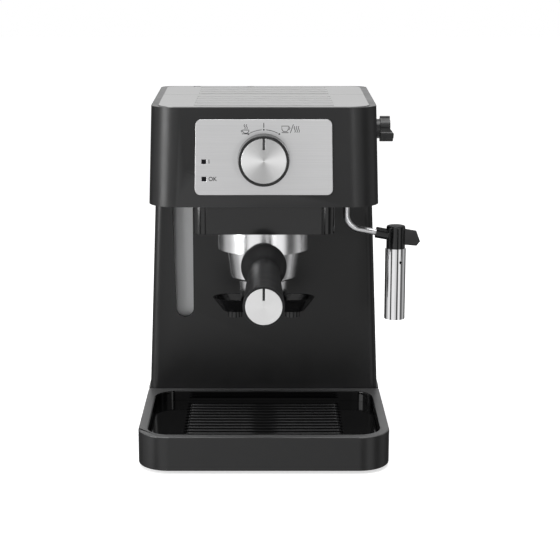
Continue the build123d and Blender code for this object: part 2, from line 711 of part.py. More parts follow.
# Water tank: open clear box with two hinge ears for the lid on its rear wall
with BuildPart() as water_tank:
    add(upright_slab(tank_left, TANK_RIGHT, tank_front, tank_rear, TANK_BOTTOM, tank_top, TANK_EDGE_RADIUS))
    add(
        upright_slab(
            tank_left + TANK_WALL,
            TANK_RIGHT - TANK_WALL,
            tank_front + TANK_WALL,
            tank_rear - TANK_WALL,
            TANK_BOTTOM + TANK_WALL,
            tank_top,
            TANK_EDGE_RADIUS - TANK_WALL,
        ),
        mode=Mode.SUBTRACT,
    )
    with Locations((tank_middle_x, tank_middle_y, TANK_BOTTOM + TANK_WALL)):
        Hole(VALVE_RADIUS - TANK_WALL + FIT_GAP)
    for ear_x in HINGE_EARS_X:
        with BuildSketch(Plane.YZ.offset(ear_x - HINGE_EAR_WIDTH / 2)):
            with Locations((hinge_y, hinge_z)):
                Circle(HINGE_EAR_RADIUS)
            with Locations(((tank_rear + hinge_y) / 2, (tank_top - 2 * TANK_HANDLE_WIDTH + hinge_z) / 2)):
                Rectangle(hinge_y - tank_rear, hinge_z - tank_top + 2 * TANK_HANDLE_WIDTH)
        extrude(amount=HINGE_EAR_WIDTH)
        with BuildSketch(Plane.YZ.offset(ear_x - HINGE_EAR_WIDTH / 2)):
            with Locations((hinge_y, hinge_z)):
                Circle(HINGE_PIN_RADIUS + FIT_GAP / 2)
        extrude(amount=HINGE_EAR_WIDTH, mode=Mode.SUBTRACT)
save(water_tank, "water_tank")

# Tank handle: bar across the tank's mouth
handle_top = tank_top
with BuildPart() as tank_handle:
    with BuildSketch(Plane.XY.offset(handle_top - TANK_HANDLE_HEIGHT)):
        with Locations((tank_middle_x, tank_middle_y)):
            Rectangle(TANK_RIGHT - tank_left - 2 * TANK_WALL, TANK_HANDLE_WIDTH)
    extrude(amount=TANK_HANDLE_HEIGHT)
    fillet(tank_handle.edges().filter_by(Axis.X), TANK_HANDLE_HEIGHT / 4)
save(tank_handle, "tank_handle")

# Tank valve: flanged spigot that hangs through the tank's floor into the seat
with BuildPart() as tank_valve:
    with BuildSketch(Plane.XY.offset(TANK_BOTTOM - VALVE_LENGTH)):
        with Locations((tank_middle_x, tank_middle_y)):
            Circle(VALVE_RADIUS)
    extrude(amount=VALVE_LENGTH)
    with BuildSketch(Plane.XY.offset(TANK_BOTTOM)):
        with Locations((tank_middle_x, tank_middle_y)):
            Circle(VALVE_RADIUS - TANK_WALL)
    extrude(amount=TANK_WALL)
    with BuildSketch(Plane.XY.offset(TANK_BOTTOM + TANK_WALL)):
        with Locations((tank_middle_x, tank_middle_y)):
            Circle(VALVE_RADIUS + TANK_WALL)
    extrude(amount=TANK_WALL)
    with Locations((tank_middle_x, tank_middle_y, TANK_BOTTOM + 2 * TANK_WALL)):
        Hole(HOSE_BORE)
save(tank_valve, "tank_valve")

# Housing: the upper casing over the column and the brew group, open at the top for the deck
knob_hole = KNOB_SHAFT_RADIUS + RUN_GAP
housing_mid_y = (housing_front + rear_face) / 2
with BuildPart() as housing:
    add(
        tapered_box(
            HOUSING_FOOT_WIDTH,
            HOUSING_HEAD_WIDTH,
            housing_front,
            rear_face,
            housing_bottom,
            housing_top,
            HOUSING_RADIUS,
            HOUSING_REAR_RADIUS,
            housing_flare,
        )
    )
    add(
        tapered_box(
            HOUSING_FOOT_WIDTH - 2 * WALL,
            HOUSING_HEAD_WIDTH - 2 * WALL,
            housing_front + WALL,
            rear_face - WALL,
            floor_top,
            ledge_z - RIM_THICKNESS,
            HOUSING_RADIUS - WALL,
            HOUSING_REAR_RADIUS - WALL,
            housing_flare,
        ),
        mode=Mode.SUBTRACT,
    )
    with BuildSketch(Plane.XY.offset(ledge_z - RIM_THICKNESS)):
        add(deck_outline(deck_front, deck_rear, RIM_LEDGE))
        add(deck_outline(hinge_y - DECK_DEPTH, rear_face, -RUN_GAP))
    extrude(amount=DECK_DEPTH + RIM_THICKNESS, mode=Mode.SUBTRACT)
    with BuildSketch(Plane.XY.offset(ledge_z)):
        add(
            rounded_plan(
                deck_width + 2 * RUN_GAP,
                deck_front - RUN_GAP,
                deck_rear + RUN_GAP,
                deck_radius + RUN_GAP,
                deck_rear_radius + RUN_GAP,
                housing_flare,
            )
        )
    extrude(amount=DECK_DEPTH, mode=Mode.SUBTRACT)
    with BuildSketch(Plane.XY.offset(housing_bottom)):
        add(
            rounded_plan(
                HOUSING_FOOT_WIDTH - 2 * WALL,
                splash_y + WALL,
                rear_face - WALL,
                COLUMN_RADIUS - WALL,
                HOUSING_REAR_RADIUS - WALL,
            )
        )
        with Locations((0, group_y)):
            Circle(WATERWAY_RADIUS + WALL)
        with Locations((WAND_X, wand_y)):
            Circle(WAND_TUBE_RADIUS + RUN_GAP)
    extrude(amount=WALL, mode=Mode.SUBTRACT)
    with BuildSketch(Plane.XZ.offset(-housing_front - WALL)):
        with Locations((0, knob_centre_z)):
            Circle(knob_hole)
        with Locations(*[(LAMP_X, level) for level in lamp_heights]):
            Rectangle(LAMP_SIZE + 2 * FIT_GAP, LAMP_SIZE + 2 * FIT_GAP)
    extrude(amount=2 * WALL, mode=Mode.SUBTRACT)
    with BuildSketch(Plane.YZ.offset(HOUSING_HEAD_WIDTH / 2 - 2 * WALL)):
        with Locations((steam_knob_y, steam_knob_z)):
            Circle(STEAM_STEM_RADIUS + RUN_GAP)
    extrude(amount=4 * WALL, mode=Mode.SUBTRACT)
save(housing, "upper_housing")


def bead_rows(front, rear, count):
    """Plan of the pressed beads that run across a deck plate."""
    with BuildSketch() as beads:
        with Locations((0, (front + rear) / 2)):
            with GridLocations(0, BEAD_PITCH, 1, count):
                Rectangle(BEAD_LENGTH, BEAD_WIDTH)
    return beads.sketch


# Cup plate: pressed steel pan at the front of the deck, with raised beads
cup_plate_rear = seam_y - SEAM_GAP / 2
with BuildPart() as cup_plate:
    with BuildSketch(Plane.XY.offset(ledge_z)):
        add(deck_outline(deck_front, cup_plate_rear, 0))
    extrude(amount=DECK_DEPTH)
    with BuildSketch(Plane.XY.offset(ledge_z)):
        add(deck_outline(deck_front, cup_plate_rear - PLATE_SKIRT, PLATE_SKIRT))
    extrude(amount=DECK_DEPTH - PLATE_SHEET, mode=Mode.SUBTRACT)
    with BuildSketch(Plane.XY.offset(plate_top)):
        add(bead_rows(deck_front, cup_plate_rear, CUP_PLATE_BEAD_COUNT))
    extrude(amount=BEAD_HEIGHT)
    chamfer(cup_plate.edges().group_by(Axis.Z)[-1], BEAD_HEIGHT * 0.7)
save(cup_plate, "cup_plate")

# Tank lid: moulded carrier that is hinged on the tank, with a steel skin on top
carrier_top = plate_top - LID_SKIN
notch_width = HINGE_EAR_WIDTH + 2 * RUN_GAP
notch_front = tank_rear - SEAM_GAP
with BuildPart() as tank_lid:
    with BuildSketch(Plane.XY.offset(ledge_z)):
        add(lid_outline())
    extrude(amount=DECK_DEPTH - LID_SKIN)
    fillet(tank_lid.faces().sort_by(Axis.Z)[0].edges().sort_by(Axis.Y)[-3:], HINGE_INSET)
    with BuildSketch(Plane.XY.offset(ledge_z)):
        add(deck_outline(lid_front + PLATE_SKIRT, lid_rear - LID_REAR_BAND, PLATE_SKIRT))
    extrude(amount=DECK_DEPTH - LID_SKIN - PLATE_SKIRT, mode=Mode.SUBTRACT)
    with BuildSketch(Plane.XY.offset(ledge_z)):
        for ear_x in HINGE_EARS_X:
            with Locations((ear_x, (notch_front + lid_rear) / 2)):
                Rectangle(notch_width, lid_rear - notch_front)
    extrude(amount=DECK_DEPTH, mode=Mode.SUBTRACT)
    for ear_x in HINGE_EARS_X:
        with BuildSketch(Plane.YZ.offset(ear_x - HINGE_PIN_LENGTH / 2)):
            with Locations((hinge_y, hinge_z)):
                Circle(HINGE_PIN_RADIUS)
        extrude(amount=HINGE_PIN_LENGTH, mode=Mode.SUBTRACT)
save(tank_lid, "tank_lid")

with BuildPart() as lid_skin:
    with BuildSketch(Plane.XY.offset(carrier_top)):
        add(lid_outline())
    extrude(amount=LID_SKIN)
    with BuildSketch(Plane.XY.offset(plate_top)):
        add(bead_rows(lid_front, lid_rear, LID_BEAD_COUNT))
    extrude(amount=BEAD_HEIGHT)
    chamfer(lid_skin.edges().group_by(Axis.Z)[-1], BEAD_HEIGHT * 0.7)
    with BuildSketch(Plane.XY.offset(carrier_top)):
        for ear_x in HINGE_EARS_X:
            with Locations((ear_x, (notch_front + lid_rear) / 2)):
                Rectangle(notch_width, lid_rear - notch_front)
    extrude(amount=LID_SKIN + BEAD_HEIGHT, mode=Mode.SUBTRACT)
save(lid_skin, "lid_skin")

# Lid hinge pins: steel pins held in the lid, turning in the tank's ears
with BuildPart() as hinge_pins:
    for ear_x in HINGE_EARS_X:
        with BuildSketch(Plane.YZ.offset(ear_x - HINGE_PIN_LENGTH / 2)):
            with Locations((hinge_y, hinge_z)):
                Circle(HINGE_PIN_RADIUS)
        extrude(amount=HINGE_PIN_LENGTH)
save(hinge_pins, "lid_hinge_pins")

# Control panel: thin brushed plate on the housing's front
with BuildPart() as control_panel:
    with BuildSketch(Plane.XZ.offset(-housing_front)) as plate:
        Polygon(
            (-PANEL_FOOT_WIDTH / 2, panel_centre_z - PANEL_HEIGHT / 2),
            (PANEL_FOOT_WIDTH / 2, panel_centre_z - PANEL_HEIGHT / 2),
            (PANEL_HEAD_WIDTH / 2, panel_centre_z + PANEL_HEIGHT / 2),
            (-PANEL_HEAD_WIDTH / 2, panel_centre_z + PANEL_HEIGHT / 2),
            align=None,
        )
        fillet(plate.vertices(), PANEL_RADIUS)
        with Locations((0, knob_centre_z)):
            Circle(knob_hole, mode=Mode.SUBTRACT)
        with Locations(*[(LAMP_X, level) for level in lamp_heights]):
            Rectangle(LAMP_SIZE + 2 * FIT_GAP, LAMP_SIZE + 2 * FIT_GAP, mode=Mode.SUBTRACT)
    extrude(amount=PANEL_THICKNESS)
save(control_panel, "control_panel")

# Indicator lamps: two square lenses flush with the panel, on a small board behind the wall
lamp_back = housing_front + WALL + LAMP_SIZE
with BuildPart() as indicator_lenses:
    with BuildSketch(Plane.XZ.offset(-lamp_back)):
        with Locations(*[(LAMP_X, level) for level in lamp_heights]):
            Rectangle(LAMP_SIZE, LAMP_SIZE)
    extrude(amount=lamp_back - panel_face)
save(indicator_lenses, "indicator_lenses")

lamp_middle = sum(lamp_heights) / 2
lamp_spread = lamp_heights[1] - lamp_heights[0]
with BuildPart() as lamp_board:
    with BuildSketch(Plane.XZ.offset(-lamp_back)):
        with Locations((LAMP_X, lamp_middle)):
            Rectangle(4 * LAMP_SIZE, lamp_spread + 4 * LAMP_SIZE)
    extrude(amount=-LAMP_BOARD_THICKNESS)
    with BuildSketch(Plane.XZ.offset(-lamp_back)):
        with Locations((LAMP_X, lamp_middle)):
            with GridLocations(3 * LAMP_SIZE, lamp_spread + 3 * LAMP_SIZE, 2, 2):
                Circle(LAMP_SIZE / 3)
    extrude(amount=lamp_back - housing_front - WALL)
save(lamp_board, "lamp_board")

# Selector: rotary switch behind the wall, its shaft, the knob with its pointer and a metal cap
knob_back = panel_face - RUN_GAP
knob_face = knob_back - KNOB_LENGTH
shaft_end = housing_front + WALL + SWITCH_LENGTH * 0.8
shaft_tip = knob_back - KNOB_LENGTH * 0.6
with BuildPart() as selector_switch:
    with BuildSketch(Plane.XZ.offset(-housing_front - WALL)):
        with Locations((0, knob_centre_z)):
            RectangleRounded(SWITCH_WIDTH, SWITCH_WIDTH, WALL)
    extrude(amount=-SWITCH_LENGTH)
    with BuildSketch(Plane.XZ.offset(-housing_front - WALL)):
        with Locations((0, knob_centre_z)):
            Circle(KNOB_SHAFT_RADIUS + FIT_GAP)
    extrude(amount=housing_front + WALL - shaft_end - FIT_GAP, mode=Mode.SUBTRACT)
save(selector_switch, "selector_switch")

with BuildPart() as selector_shaft:
    with BuildSketch(Plane.XZ.offset(-shaft_end)):
        with Locations((0, knob_centre_z)):
            Circle(KNOB_SHAFT_RADIUS)
    extrude(amount=shaft_end - shaft_tip)
save(selector_shaft, "selector_shaft")

pointer_middle = knob_centre_z + KNOB_CAP_RADIUS - POINTER_LENGTH / 2
with BuildPart() as selector_knob:
    with BuildSketch(Plane.XZ.offset(-knob_back)):
        with Locations((0, knob_centre_z)):
            Circle(KNOB_BASE_RADIUS)
    with BuildSketch(Plane.XZ.offset(-knob_face)):
        with Locations((0, knob_centre_z)):
            Circle(KNOB_FACE_RADIUS)
    loft()
    with BuildSketch(Plane.XZ.offset(-knob_face)):
        with Locations((0, knob_centre_z)):
            Circle(KNOB_CAP_RADIUS)
        with Locations((0, pointer_middle)):
            Rectangle(POINTER_WIDTH, POINTER_LENGTH, mode=Mode.SUBTRACT)
    extrude(amount=-KNOB_CAP_THICKNESS, mode=Mode.SUBTRACT)
    with BuildSketch(Plane.XZ.offset(-knob_back)):
        with Locations((0, knob_centre_z)):
            Circle(KNOB_SHAFT_RADIUS)
    extrude(amount=knob_back - shaft_tip, mode=Mode.SUBTRACT)
save(selector_knob, "selector_knob")

with BuildPart() as knob_cap:
    with BuildSketch(Plane.XZ.offset(-knob_face)):
        with Locations((0, knob_centre_z)):
            Circle(KNOB_CAP_RADIUS)
        with Locations((0, pointer_middle)):
            Rectangle(POINTER_WIDTH, POINTER_LENGTH, mode=Mode.SUBTRACT)
    extrude(amount=-KNOB_CAP_THICKNESS)
save(knob_cap, "selector_knob_cap")

# Group collar: dark shroud under the housing around the brew group
collar_bore = GROUP_RADIUS + FIT_GAP
with BuildPart() as group_collar:
    add(
        upright_slab(
            -COLLAR_WIDTH / 2,
            COLLAR_WIDTH / 2,
            collar_front,
            splash_y,
            collar_bottom,
            housing_bottom,
            COLLAR_RADIUS,
        )
    )
    with BuildSketch(Plane.XY.offset(collar_bottom)):
        with Locations((0, splash_y - COLLAR_RADIUS / 2)):
            Rectangle(COLLAR_WIDTH, COLLAR_RADIUS)
    extrude(amount=housing_bottom - collar_bottom)
    groove_x = COLLAR_WIDTH / 2 - COLLAR_RADIUS - COLLAR_GROOVE / 2
    with BuildSketch(Plane.XY.offset(collar_bottom)):
        with Locations((-groove_x, collar_front), (groove_x, collar_front)):
            Rectangle(COLLAR_GROOVE, 2 * COLLAR_GROOVE)
    extrude(amount=housing_bottom - collar_bottom, mode=Mode.SUBTRACT)
    with Locations((0, group_y, housing_bottom)):
        Hole(collar_bore)
save(group_collar, "group_collar")

# Brew group: cast ring under the boiler, with a broken flange that the handle's lugs turn over
notch_sweep = LUG_ANGLE + 10.0
with BuildPart() as brew_group:
    with BuildSketch(Plane.XY.offset(collar_bottom)):
        with Locations((0, group_y)):
            Circle(GROUP_RADIUS)
            Circle(GROUP_FLANGE_BORE, mode=Mode.SUBTRACT)
    extrude(amount=GROUP_FLANGE)
    with BuildSketch(Plane.XY.offset(collar_bottom)):
        for turn in (0, 180):
            add(sector(GROUP_BORE, turn - UNLOCK_ANGLE, notch_sweep))
    extrude(amount=GROUP_FLANGE, mode=Mode.SUBTRACT)
    with BuildSketch(Plane.XY.offset(collar_bottom + GROUP_FLANGE)):
        with Locations((0, group_y)):
            Circle(GROUP_RADIUS)
            Circle(GROUP_BORE, mode=Mode.SUBTRACT)
    extrude(amount=group_roof_z - collar_bottom - GROUP_FLANGE)
    with BuildSketch(Plane.XY.offset(group_roof_z)):
        with Locations((0, group_y)):
            Circle(GROUP_RADIUS)
            Circle(WATERWAY_RADIUS, mode=Mode.SUBTRACT)
    extrude(amount=GROUP_ROOF)
save(brew_group, "brew_group")

# Group seal and shower screen under the group's roof
with BuildPart() as group_seal:
    with BuildSketch(Plane.XY.offset(group_roof_z - SEAL_HEIGHT)):
        with Locations((0, group_y)):
            Circle(SEAL_OUTER)
            Circle(SEAL_INNER, mode=Mode.SUBTRACT)
    extrude(amount=SEAL_HEIGHT)
save(group_seal, "group_seal")

screen_screw_radius = WATERWAY_RADIUS - FIT_GAP
with BuildPart() as shower_screen:
    with BuildSketch(Plane.XY.offset(group_roof_z - SCREEN_THICKNESS)):
        with Locations((0, group_y)):
            Circle(SCREEN_RADIUS)
            Circle(WATERWAY_RADIUS, mode=Mode.SUBTRACT)
        for hole_count, hole_circle in zip(SCREEN_RING_COUNTS, SCREEN_RING_RADII):
            with Locations((0, group_y)):
                with PolarLocations(hole_circle, hole_count):
                    Circle(SCREEN_HOLE, mode=Mode.SUBTRACT)
    extrude(amount=SCREEN_THICKNESS)
save(shower_screen, "shower_screen")

with BuildPart() as screen_screw:
    with BuildSketch(Plane.XY.offset(group_roof_z - SCREEN_THICKNESS - SCREW_HEAD_HEIGHT)):
        with Locations((0, group_y)):
            Circle(2 * WATERWAY_RADIUS)
    extrude(amount=SCREW_HEAD_HEIGHT)
    with BuildSketch(Plane.XY.offset(group_roof_z - SCREEN_THICKNESS)):
        with Locations((0, group_y)):
            Circle(screen_screw_radius)
    extrude(amount=SCREEN_THICKNESS + GROUP_ROOF)
save(screen_screw, "shower_screen_screw")

# Boiler: two aluminium halves bolted together at a flange, with a seal between
flange_low = boiler_split - BOILER_FLANGE
upper_foot = boiler_split + BOILER_SEAL


def boiler_ring(level, height, outer, inner):
    """Round ring about the boiler's axis."""
    with BuildPart() as ring:
        with BuildSketch(Plane.XY.offset(level)):
            with Locations((0, boiler_y)):
                Circle(outer)
                Circle(inner, mode=Mode.SUBTRACT)
        extrude(amount=height)
    return ring.part


boiler_inside = BOILER_RADIUS - BOILER_WALL
boiler_roof = upper_foot + BOILER_UPPER
nipple_z = boiler_roof - BOILER_UPPER * 0.4
nipple_end = BOILER_RADIUS + BOILER_NIPPLE_LENGTH
with BuildPart() as boiler_lower:
    add(boiler_ring(floor_top, BOILER_LOWER, BOILER_RADIUS, boiler_inside))
    with BuildSketch(Plane.XY.offset(floor_top)):
        with Locations((0, boiler_y)):
            Circle(BOILER_RADIUS)
        with Locations((0, group_y)):
            Circle(WATERWAY_RADIUS, mode=Mode.SUBTRACT)
    extrude(amount=BOILER_WALL)
    add(boiler_ring(flange_low, BOILER_FLANGE, BOILER_FLANGE_RADIUS, boiler_inside))
    with Locations((0, boiler_y, boiler_split)):
        with PolarLocations(BOILER_SCREW_CIRCLE, BOILER_SCREWS):
            Hole(SCREW_RADIUS + FIT_GAP, BOILER_FLANGE)
save(boiler_lower, "boiler_lower")

with BuildPart() as boiler_seal:
    add(boiler_ring(boiler_split, BOILER_SEAL, BOILER_RADIUS, boiler_inside))
save(boiler_seal, "boiler_seal")

with BuildPart() as boiler_upper:
    add(boiler_ring(upper_foot, BOILER_UPPER, BOILER_RADIUS, boiler_inside))
    add(boiler_ring(upper_foot, BOILER_FLANGE, BOILER_FLANGE_RADIUS, boiler_inside))
    with BuildSketch(Plane.XY.offset(upper_foot + BOILER_UPPER - BOILER_WALL)):
        with Locations((0, boiler_y)):
            Circle(BOILER_RADIUS)
    extrude(amount=BOILER_WALL)
    with Locations((0, boiler_y, upper_foot + BOILER_FLANGE)):
        with PolarLocations(BOILER_SCREW_CIRCLE, BOILER_SCREWS):
            Hole(SCREW_RADIUS + FIT_GAP, BOILER_FLANGE)
    with BuildSketch(Plane.YZ.offset(boiler_inside)):
        with Locations((boiler_y, nipple_z)):
            Circle(PUMP_PORT_RADIUS)
    extrude(amount=nipple_end - boiler_inside)
    with BuildSketch(Plane.YZ.offset(boiler_inside - BOILER_WALL)):
        with Locations((boiler_y, nipple_z)):
            Circle(HOSE_BORE)
    extrude(amount=nipple_end - boiler_inside + BOILER_WALL, mode=Mode.SUBTRACT)
    with BuildSketch(Plane.YZ):
        with Locations((steam_knob_y, steam_feed_z)):
            Circle(STEAM_FEED_RADIUS + FIT_GAP / 2)
    extrude(amount=BOILER_RADIUS, mode=Mode.SUBTRACT)
save(boiler_upper, "boiler_upper")

screw_seat = upper_foot + BOILER_FLANGE
with BuildPart() as boiler_screws:
    with BuildSketch(Plane.XY.offset(screw_seat)):
        with Locations((0, boiler_y)):
            with PolarLocations(BOILER_SCREW_CIRCLE, BOILER_SCREWS):
                Circle(SCREW_HEAD_RADIUS)
    extrude(amount=SCREW_HEAD_HEIGHT)
    with BuildSketch(Plane.XY.offset(screw_seat)):
        with Locations((0, boiler_y)):
            with PolarLocations(BOILER_SCREW_CIRCLE, BOILER_SCREWS):
                Circle(SCREW_RADIUS)
    extrude(amount=-(2 * BOILER_FLANGE + BOILER_SEAL))
save(boiler_screws, "boiler_screws")

# Thermostats: one for brewing and one for steam, on the boiler's roof
with BuildPart() as thermostats:
    with BuildSketch(Plane.XY.offset(boiler_roof)):
        with Locations((-THERMOSTAT_OFFSET, boiler_y), (THERMOSTAT_OFFSET, boiler_y)):
            Circle(THERMOSTAT_RADIUS)
    extrude(amount=THERMOSTAT_HEIGHT)
save(thermostats, "thermostats")

# Filter holder: chrome ring and cup with two lugs, a stem below and a boss for the handle
handle_boss_end = handle_root_y - HANDLE_BOSS_RADIUS
with BuildPart() as filter_holder:
    with BuildSketch(Plane.XY.offset(holder_body_bottom)):
        with Locations((0, group_y)):
            Circle(HOLDER_BODY_RADIUS)
    with BuildSketch(Plane.XY.offset(holder_ring_bottom)):
        with Locations((0, group_y)):
            Circle(HOLDER_SHOULDER_RADIUS)
    loft()
    fillet(filter_holder.edges().group_by(Axis.Z)[0], WALL)
    with BuildSketch(Plane.XY.offset(holder_ring_bottom)):
        with Locations((0, group_y)):
            Circle(HOLDER_RING_RADIUS)
    extrude(amount=collar_bottom - RUN_GAP - holder_ring_bottom)
    with BuildSketch(Plane.XY.offset(collar_bottom - RUN_GAP)):
        with Locations((0, group_y)):
            Circle(HOLDER_NECK_RADIUS)
    extrude(amount=holder_top - collar_bottom + RUN_GAP)
    with BuildSketch(Plane.XY.offset(lug_bottom)):
        for turn in (0, 180):
            add(sector(LUG_REACH, turn, LUG_ANGLE))
    extrude(amount=LUG_HEIGHT)
    with BuildSketch(Plane.XZ.offset(-group_y + HOLDER_BODY_RADIUS / 2)):
        with Locations((0, handle_root_z)):
            Circle(HANDLE_BOSS_RADIUS)
    extrude(amount=group_y - HOLDER_BODY_RADIUS / 2 - handle_boss_end)
    with BuildSketch(Plane.XY.offset(holder_cavity_floor)):
        with Locations((0, group_y)):
            Circle(HOLDER_CAVITY_RADIUS)
    extrude(amount=OVERALL_HEIGHT - holder_cavity_floor, mode=Mode.SUBTRACT)
    with BuildSketch(Plane.XY.offset(holder_body_bottom)):
        with Locations((0, group_y)):
            Circle(STEM_TOP_RADIUS)
    with BuildSketch(Plane.XY.offset(stem_bottom)):
        with Locations((0, group_y)):
            Circle(STEM_FOOT_RADIUS)
    loft()
    with Locations((0, group_y, holder_cavity_floor)):
        Hole(WATERWAY_RADIUS)
save(filter_holder, "filter_holder")

# Filter basket: thin steel cup hanging by its rim on the holder
with BuildPart() as filter_basket:
    with BuildSketch(Plane.XY.offset(basket_bottom)):
        with Locations((0, group_y)):
            Circle(BASKET_RADIUS)
    extrude(amount=holder_top + BASKET_SHEET - basket_bottom)
    with BuildSketch(Plane.XY.offset(holder_top)):
        with Locations((0, group_y)):
            Circle(BASKET_RIM_RADIUS)
    extrude(amount=BASKET_SHEET)
    with BuildSketch(Plane.XY.offset(basket_bottom + BASKET_SHEET)):
        with Locations((0, group_y)):
            Circle(BASKET_RADIUS - BASKET_SHEET)
    extrude(amount=OVERALL_HEIGHT, mode=Mode.SUBTRACT)
    with BuildSketch(Plane.XY.offset(basket_bottom)):
        for hole_count, hole_circle in zip(SCREEN_RING_COUNTS, SCREEN_RING_RADII):
            with Locations((0, group_y)):
                with PolarLocations(hole_circle, hole_count):
                    Circle(SCREEN_HOLE)
    extrude(amount=BASKET_SHEET, mode=Mode.SUBTRACT)
save(filter_basket, "filter_basket")

# Twin spout: dark open trough under the holder with an outlet at each end
trough_top = stem_bottom - SPOUT_DROP
trough_bottom = trough_top - SPOUT_HEIGHT
outlet_places = [(-SPOUT_OUTLET_X, group_y), (SPOUT_OUTLET_X, group_y)]


def trough(inset, bottom):
    """Tapered oval trough, drawn in by an inset."""
    with BuildPart() as form:
        with BuildSketch(Plane.XY.offset(bottom)):
            with Locations((0, group_y)):
                SlotOverall(SPOUT_FOOT_SPAN - 2 * inset, SPOUT_FOOT_DEPTH - 2 * inset)
        with BuildSketch(Plane.XY.offset(trough_top)):
            with Locations((0, group_y)):
                SlotOverall(SPOUT_SPAN - 2 * inset, SPOUT_DEPTH - 2 * inset)
        loft(ruled=True)
    return form.part


with BuildPart() as twin_spout:
    add(trough(0, trough_bottom))
    add(trough(SPOUT_WALL, trough_bottom + SPOUT_WALL), mode=Mode.SUBTRACT)
    with BuildSketch(Plane.XY.offset(trough_bottom)):
        with Locations((0, group_y)):
            SlotOverall(SPOUT_HUB_LENGTH, SPOUT_FOOT_DEPTH)
    extrude(amount=stem_bottom - trough_bottom)
    with BuildSketch(Plane.XY.offset(spout_bottom)):
        with Locations(*outlet_places):
            Circle(SPOUT_OUTLET_RADIUS)
    extrude(amount=trough_bottom + SPOUT_WALL - spout_bottom)
    with BuildSketch(Plane.XY.offset(spout_bottom)):
        with Locations(*outlet_places):
            Circle(SPOUT_OUTLET_BORE)
    extrude(amount=trough_bottom + SPOUT_WALL - spout_bottom, mode=Mode.SUBTRACT)
    with BuildSketch(Plane.XY.offset(stem_bottom)):
        with Locations((0, group_y)):
            Circle(WATERWAY_RADIUS)
    extrude(amount=-(stem_bottom - trough_bottom) / 2, mode=Mode.SUBTRACT)
    with BuildSketch(Plane.YZ.offset(-SPOUT_HUB_LENGTH / 2)):
        with Locations((group_y, (stem_bottom + trough_bottom) / 2)):
            Circle(WATERWAY_RADIUS)
    extrude(amount=SPOUT_HUB_LENGTH, mode=Mode.SUBTRACT)
save(twin_spout, "twin_spout")

# Brew handle: moulded grip over the holder's boss, with a metal end cap and a pointer line
with BuildPart() as brew_handle:
    for step in range(HANDLE_FLARE_COUNT + 1):
        share = step / HANDLE_FLARE_COUNT
        ease = share * share * (3 - 2 * share)
        with BuildSketch(Plane.XZ.offset(-handle_root_y - share * (handle_waist_y - handle_root_y))):
            with Locations((0, handle_root_z + ease * (handle_waist_z - handle_root_z))):
                Ellipse(
                    (HANDLE_ROOT_WIDTH + ease * (HANDLE_WAIST_WIDTH - HANDLE_ROOT_WIDTH)) / 2,
                    (HANDLE_ROOT_HEIGHT + ease * (HANDLE_WAIST_HEIGHT - HANDLE_ROOT_HEIGHT)) / 2,
                )
    loft()
    with BuildSketch(Plane.XZ.offset(-handle_waist_y)):
        with Locations((0, handle_waist_z)):
            Ellipse(HANDLE_WAIST_WIDTH / 2, HANDLE_WAIST_HEIGHT / 2)
    with BuildSketch(Plane.XZ.offset(-handle_end_y)):
        with Locations((0, handle_end_z)):
            Ellipse(HANDLE_END_RADIUS, HANDLE_END_RADIUS + FIT_GAP)
    loft()
    with BuildSketch(Plane.XZ.offset(-handle_root_y)):
        with Locations((0, handle_root_z)):
            Circle(HANDLE_BOSS_RADIUS)
    extrude(amount=handle_root_y - handle_boss_end, mode=Mode.SUBTRACT)
    with BuildSketch(Plane.XZ.offset(-handle_end_y)):
        with Locations((0, handle_end_z)):
            Circle(END_CAP_RADIUS)
        with Locations((0, handle_end_z + END_CAP_RADIUS - POINTER_LENGTH / 2)):
            Rectangle(POINTER_WIDTH, POINTER_LENGTH, mode=Mode.SUBTRACT)
    extrude(amount=-END_CAP_THICKNESS, mode=Mode.SUBTRACT)
save(brew_handle, "brew_handle")

with BuildPart() as handle_cap:
    with BuildSketch(Plane.XZ.offset(-handle_end_y)):
        with Locations((0, handle_end_z)):
            Circle(END_CAP_RADIUS)
        with Locations((0, handle_end_z + END_CAP_RADIUS - POINTER_LENGTH / 2)):
            Rectangle(POINTER_WIDTH, POINTER_LENGTH, mode=Mode.SUBTRACT)
    extrude(amount=-END_CAP_THICKNESS)
save(handle_cap, "brew_handle_cap")

# Steam valve: brass block beside the boiler, with the stem that the side knob turns
valve_low = steam_knob_z - STEAM_VALVE_SIZE / 2
steam_wall_flat = half_width(steam_knob_z, housing_bottom, housing_top, HOUSING_FOOT_WIDTH, HOUSING_HEAD_WIDTH)
steam_wall_x = steam_wall_flat + housing_flare * STEAM_KNOB_SETBACK / 2
knob_inner = steam_wall_x + RUN_GAP + FIT_GAP
stem_inner = (STEAM_VALVE_LEFT + STEAM_VALVE_RIGHT) / 2
with BuildPart() as steam_valve:
    with BuildSketch(Plane.YZ.offset(STEAM_VALVE_LEFT)):
        with Locations((steam_knob_y, steam_knob_z)):
            RectangleRounded(STEAM_VALVE_SIZE, STEAM_VALVE_SIZE, WALL)
    extrude(amount=STEAM_VALVE_RIGHT - STEAM_VALVE_LEFT)
    with BuildSketch(Plane.YZ.offset(stem_inner)):
        with Locations((steam_knob_y, steam_knob_z)):
            Circle(STEAM_STEM_RADIUS + FIT_GAP / 2)
    extrude(amount=STEAM_VALVE_RIGHT - stem_inner, mode=Mode.SUBTRACT)
save(steam_valve, "steam_valve")

with BuildPart() as steam_feed:
    with BuildSketch(Plane.YZ.offset(boiler_inside * 0.9)):
        with Locations((steam_knob_y, steam_feed_z)):
            Circle(STEAM_FEED_RADIUS)
            Circle(STEAM_FEED_BORE, mode=Mode.SUBTRACT)
    extrude(amount=STEAM_VALVE_LEFT - boiler_inside * 0.9)
save(steam_feed, "steam_feed_pipe")

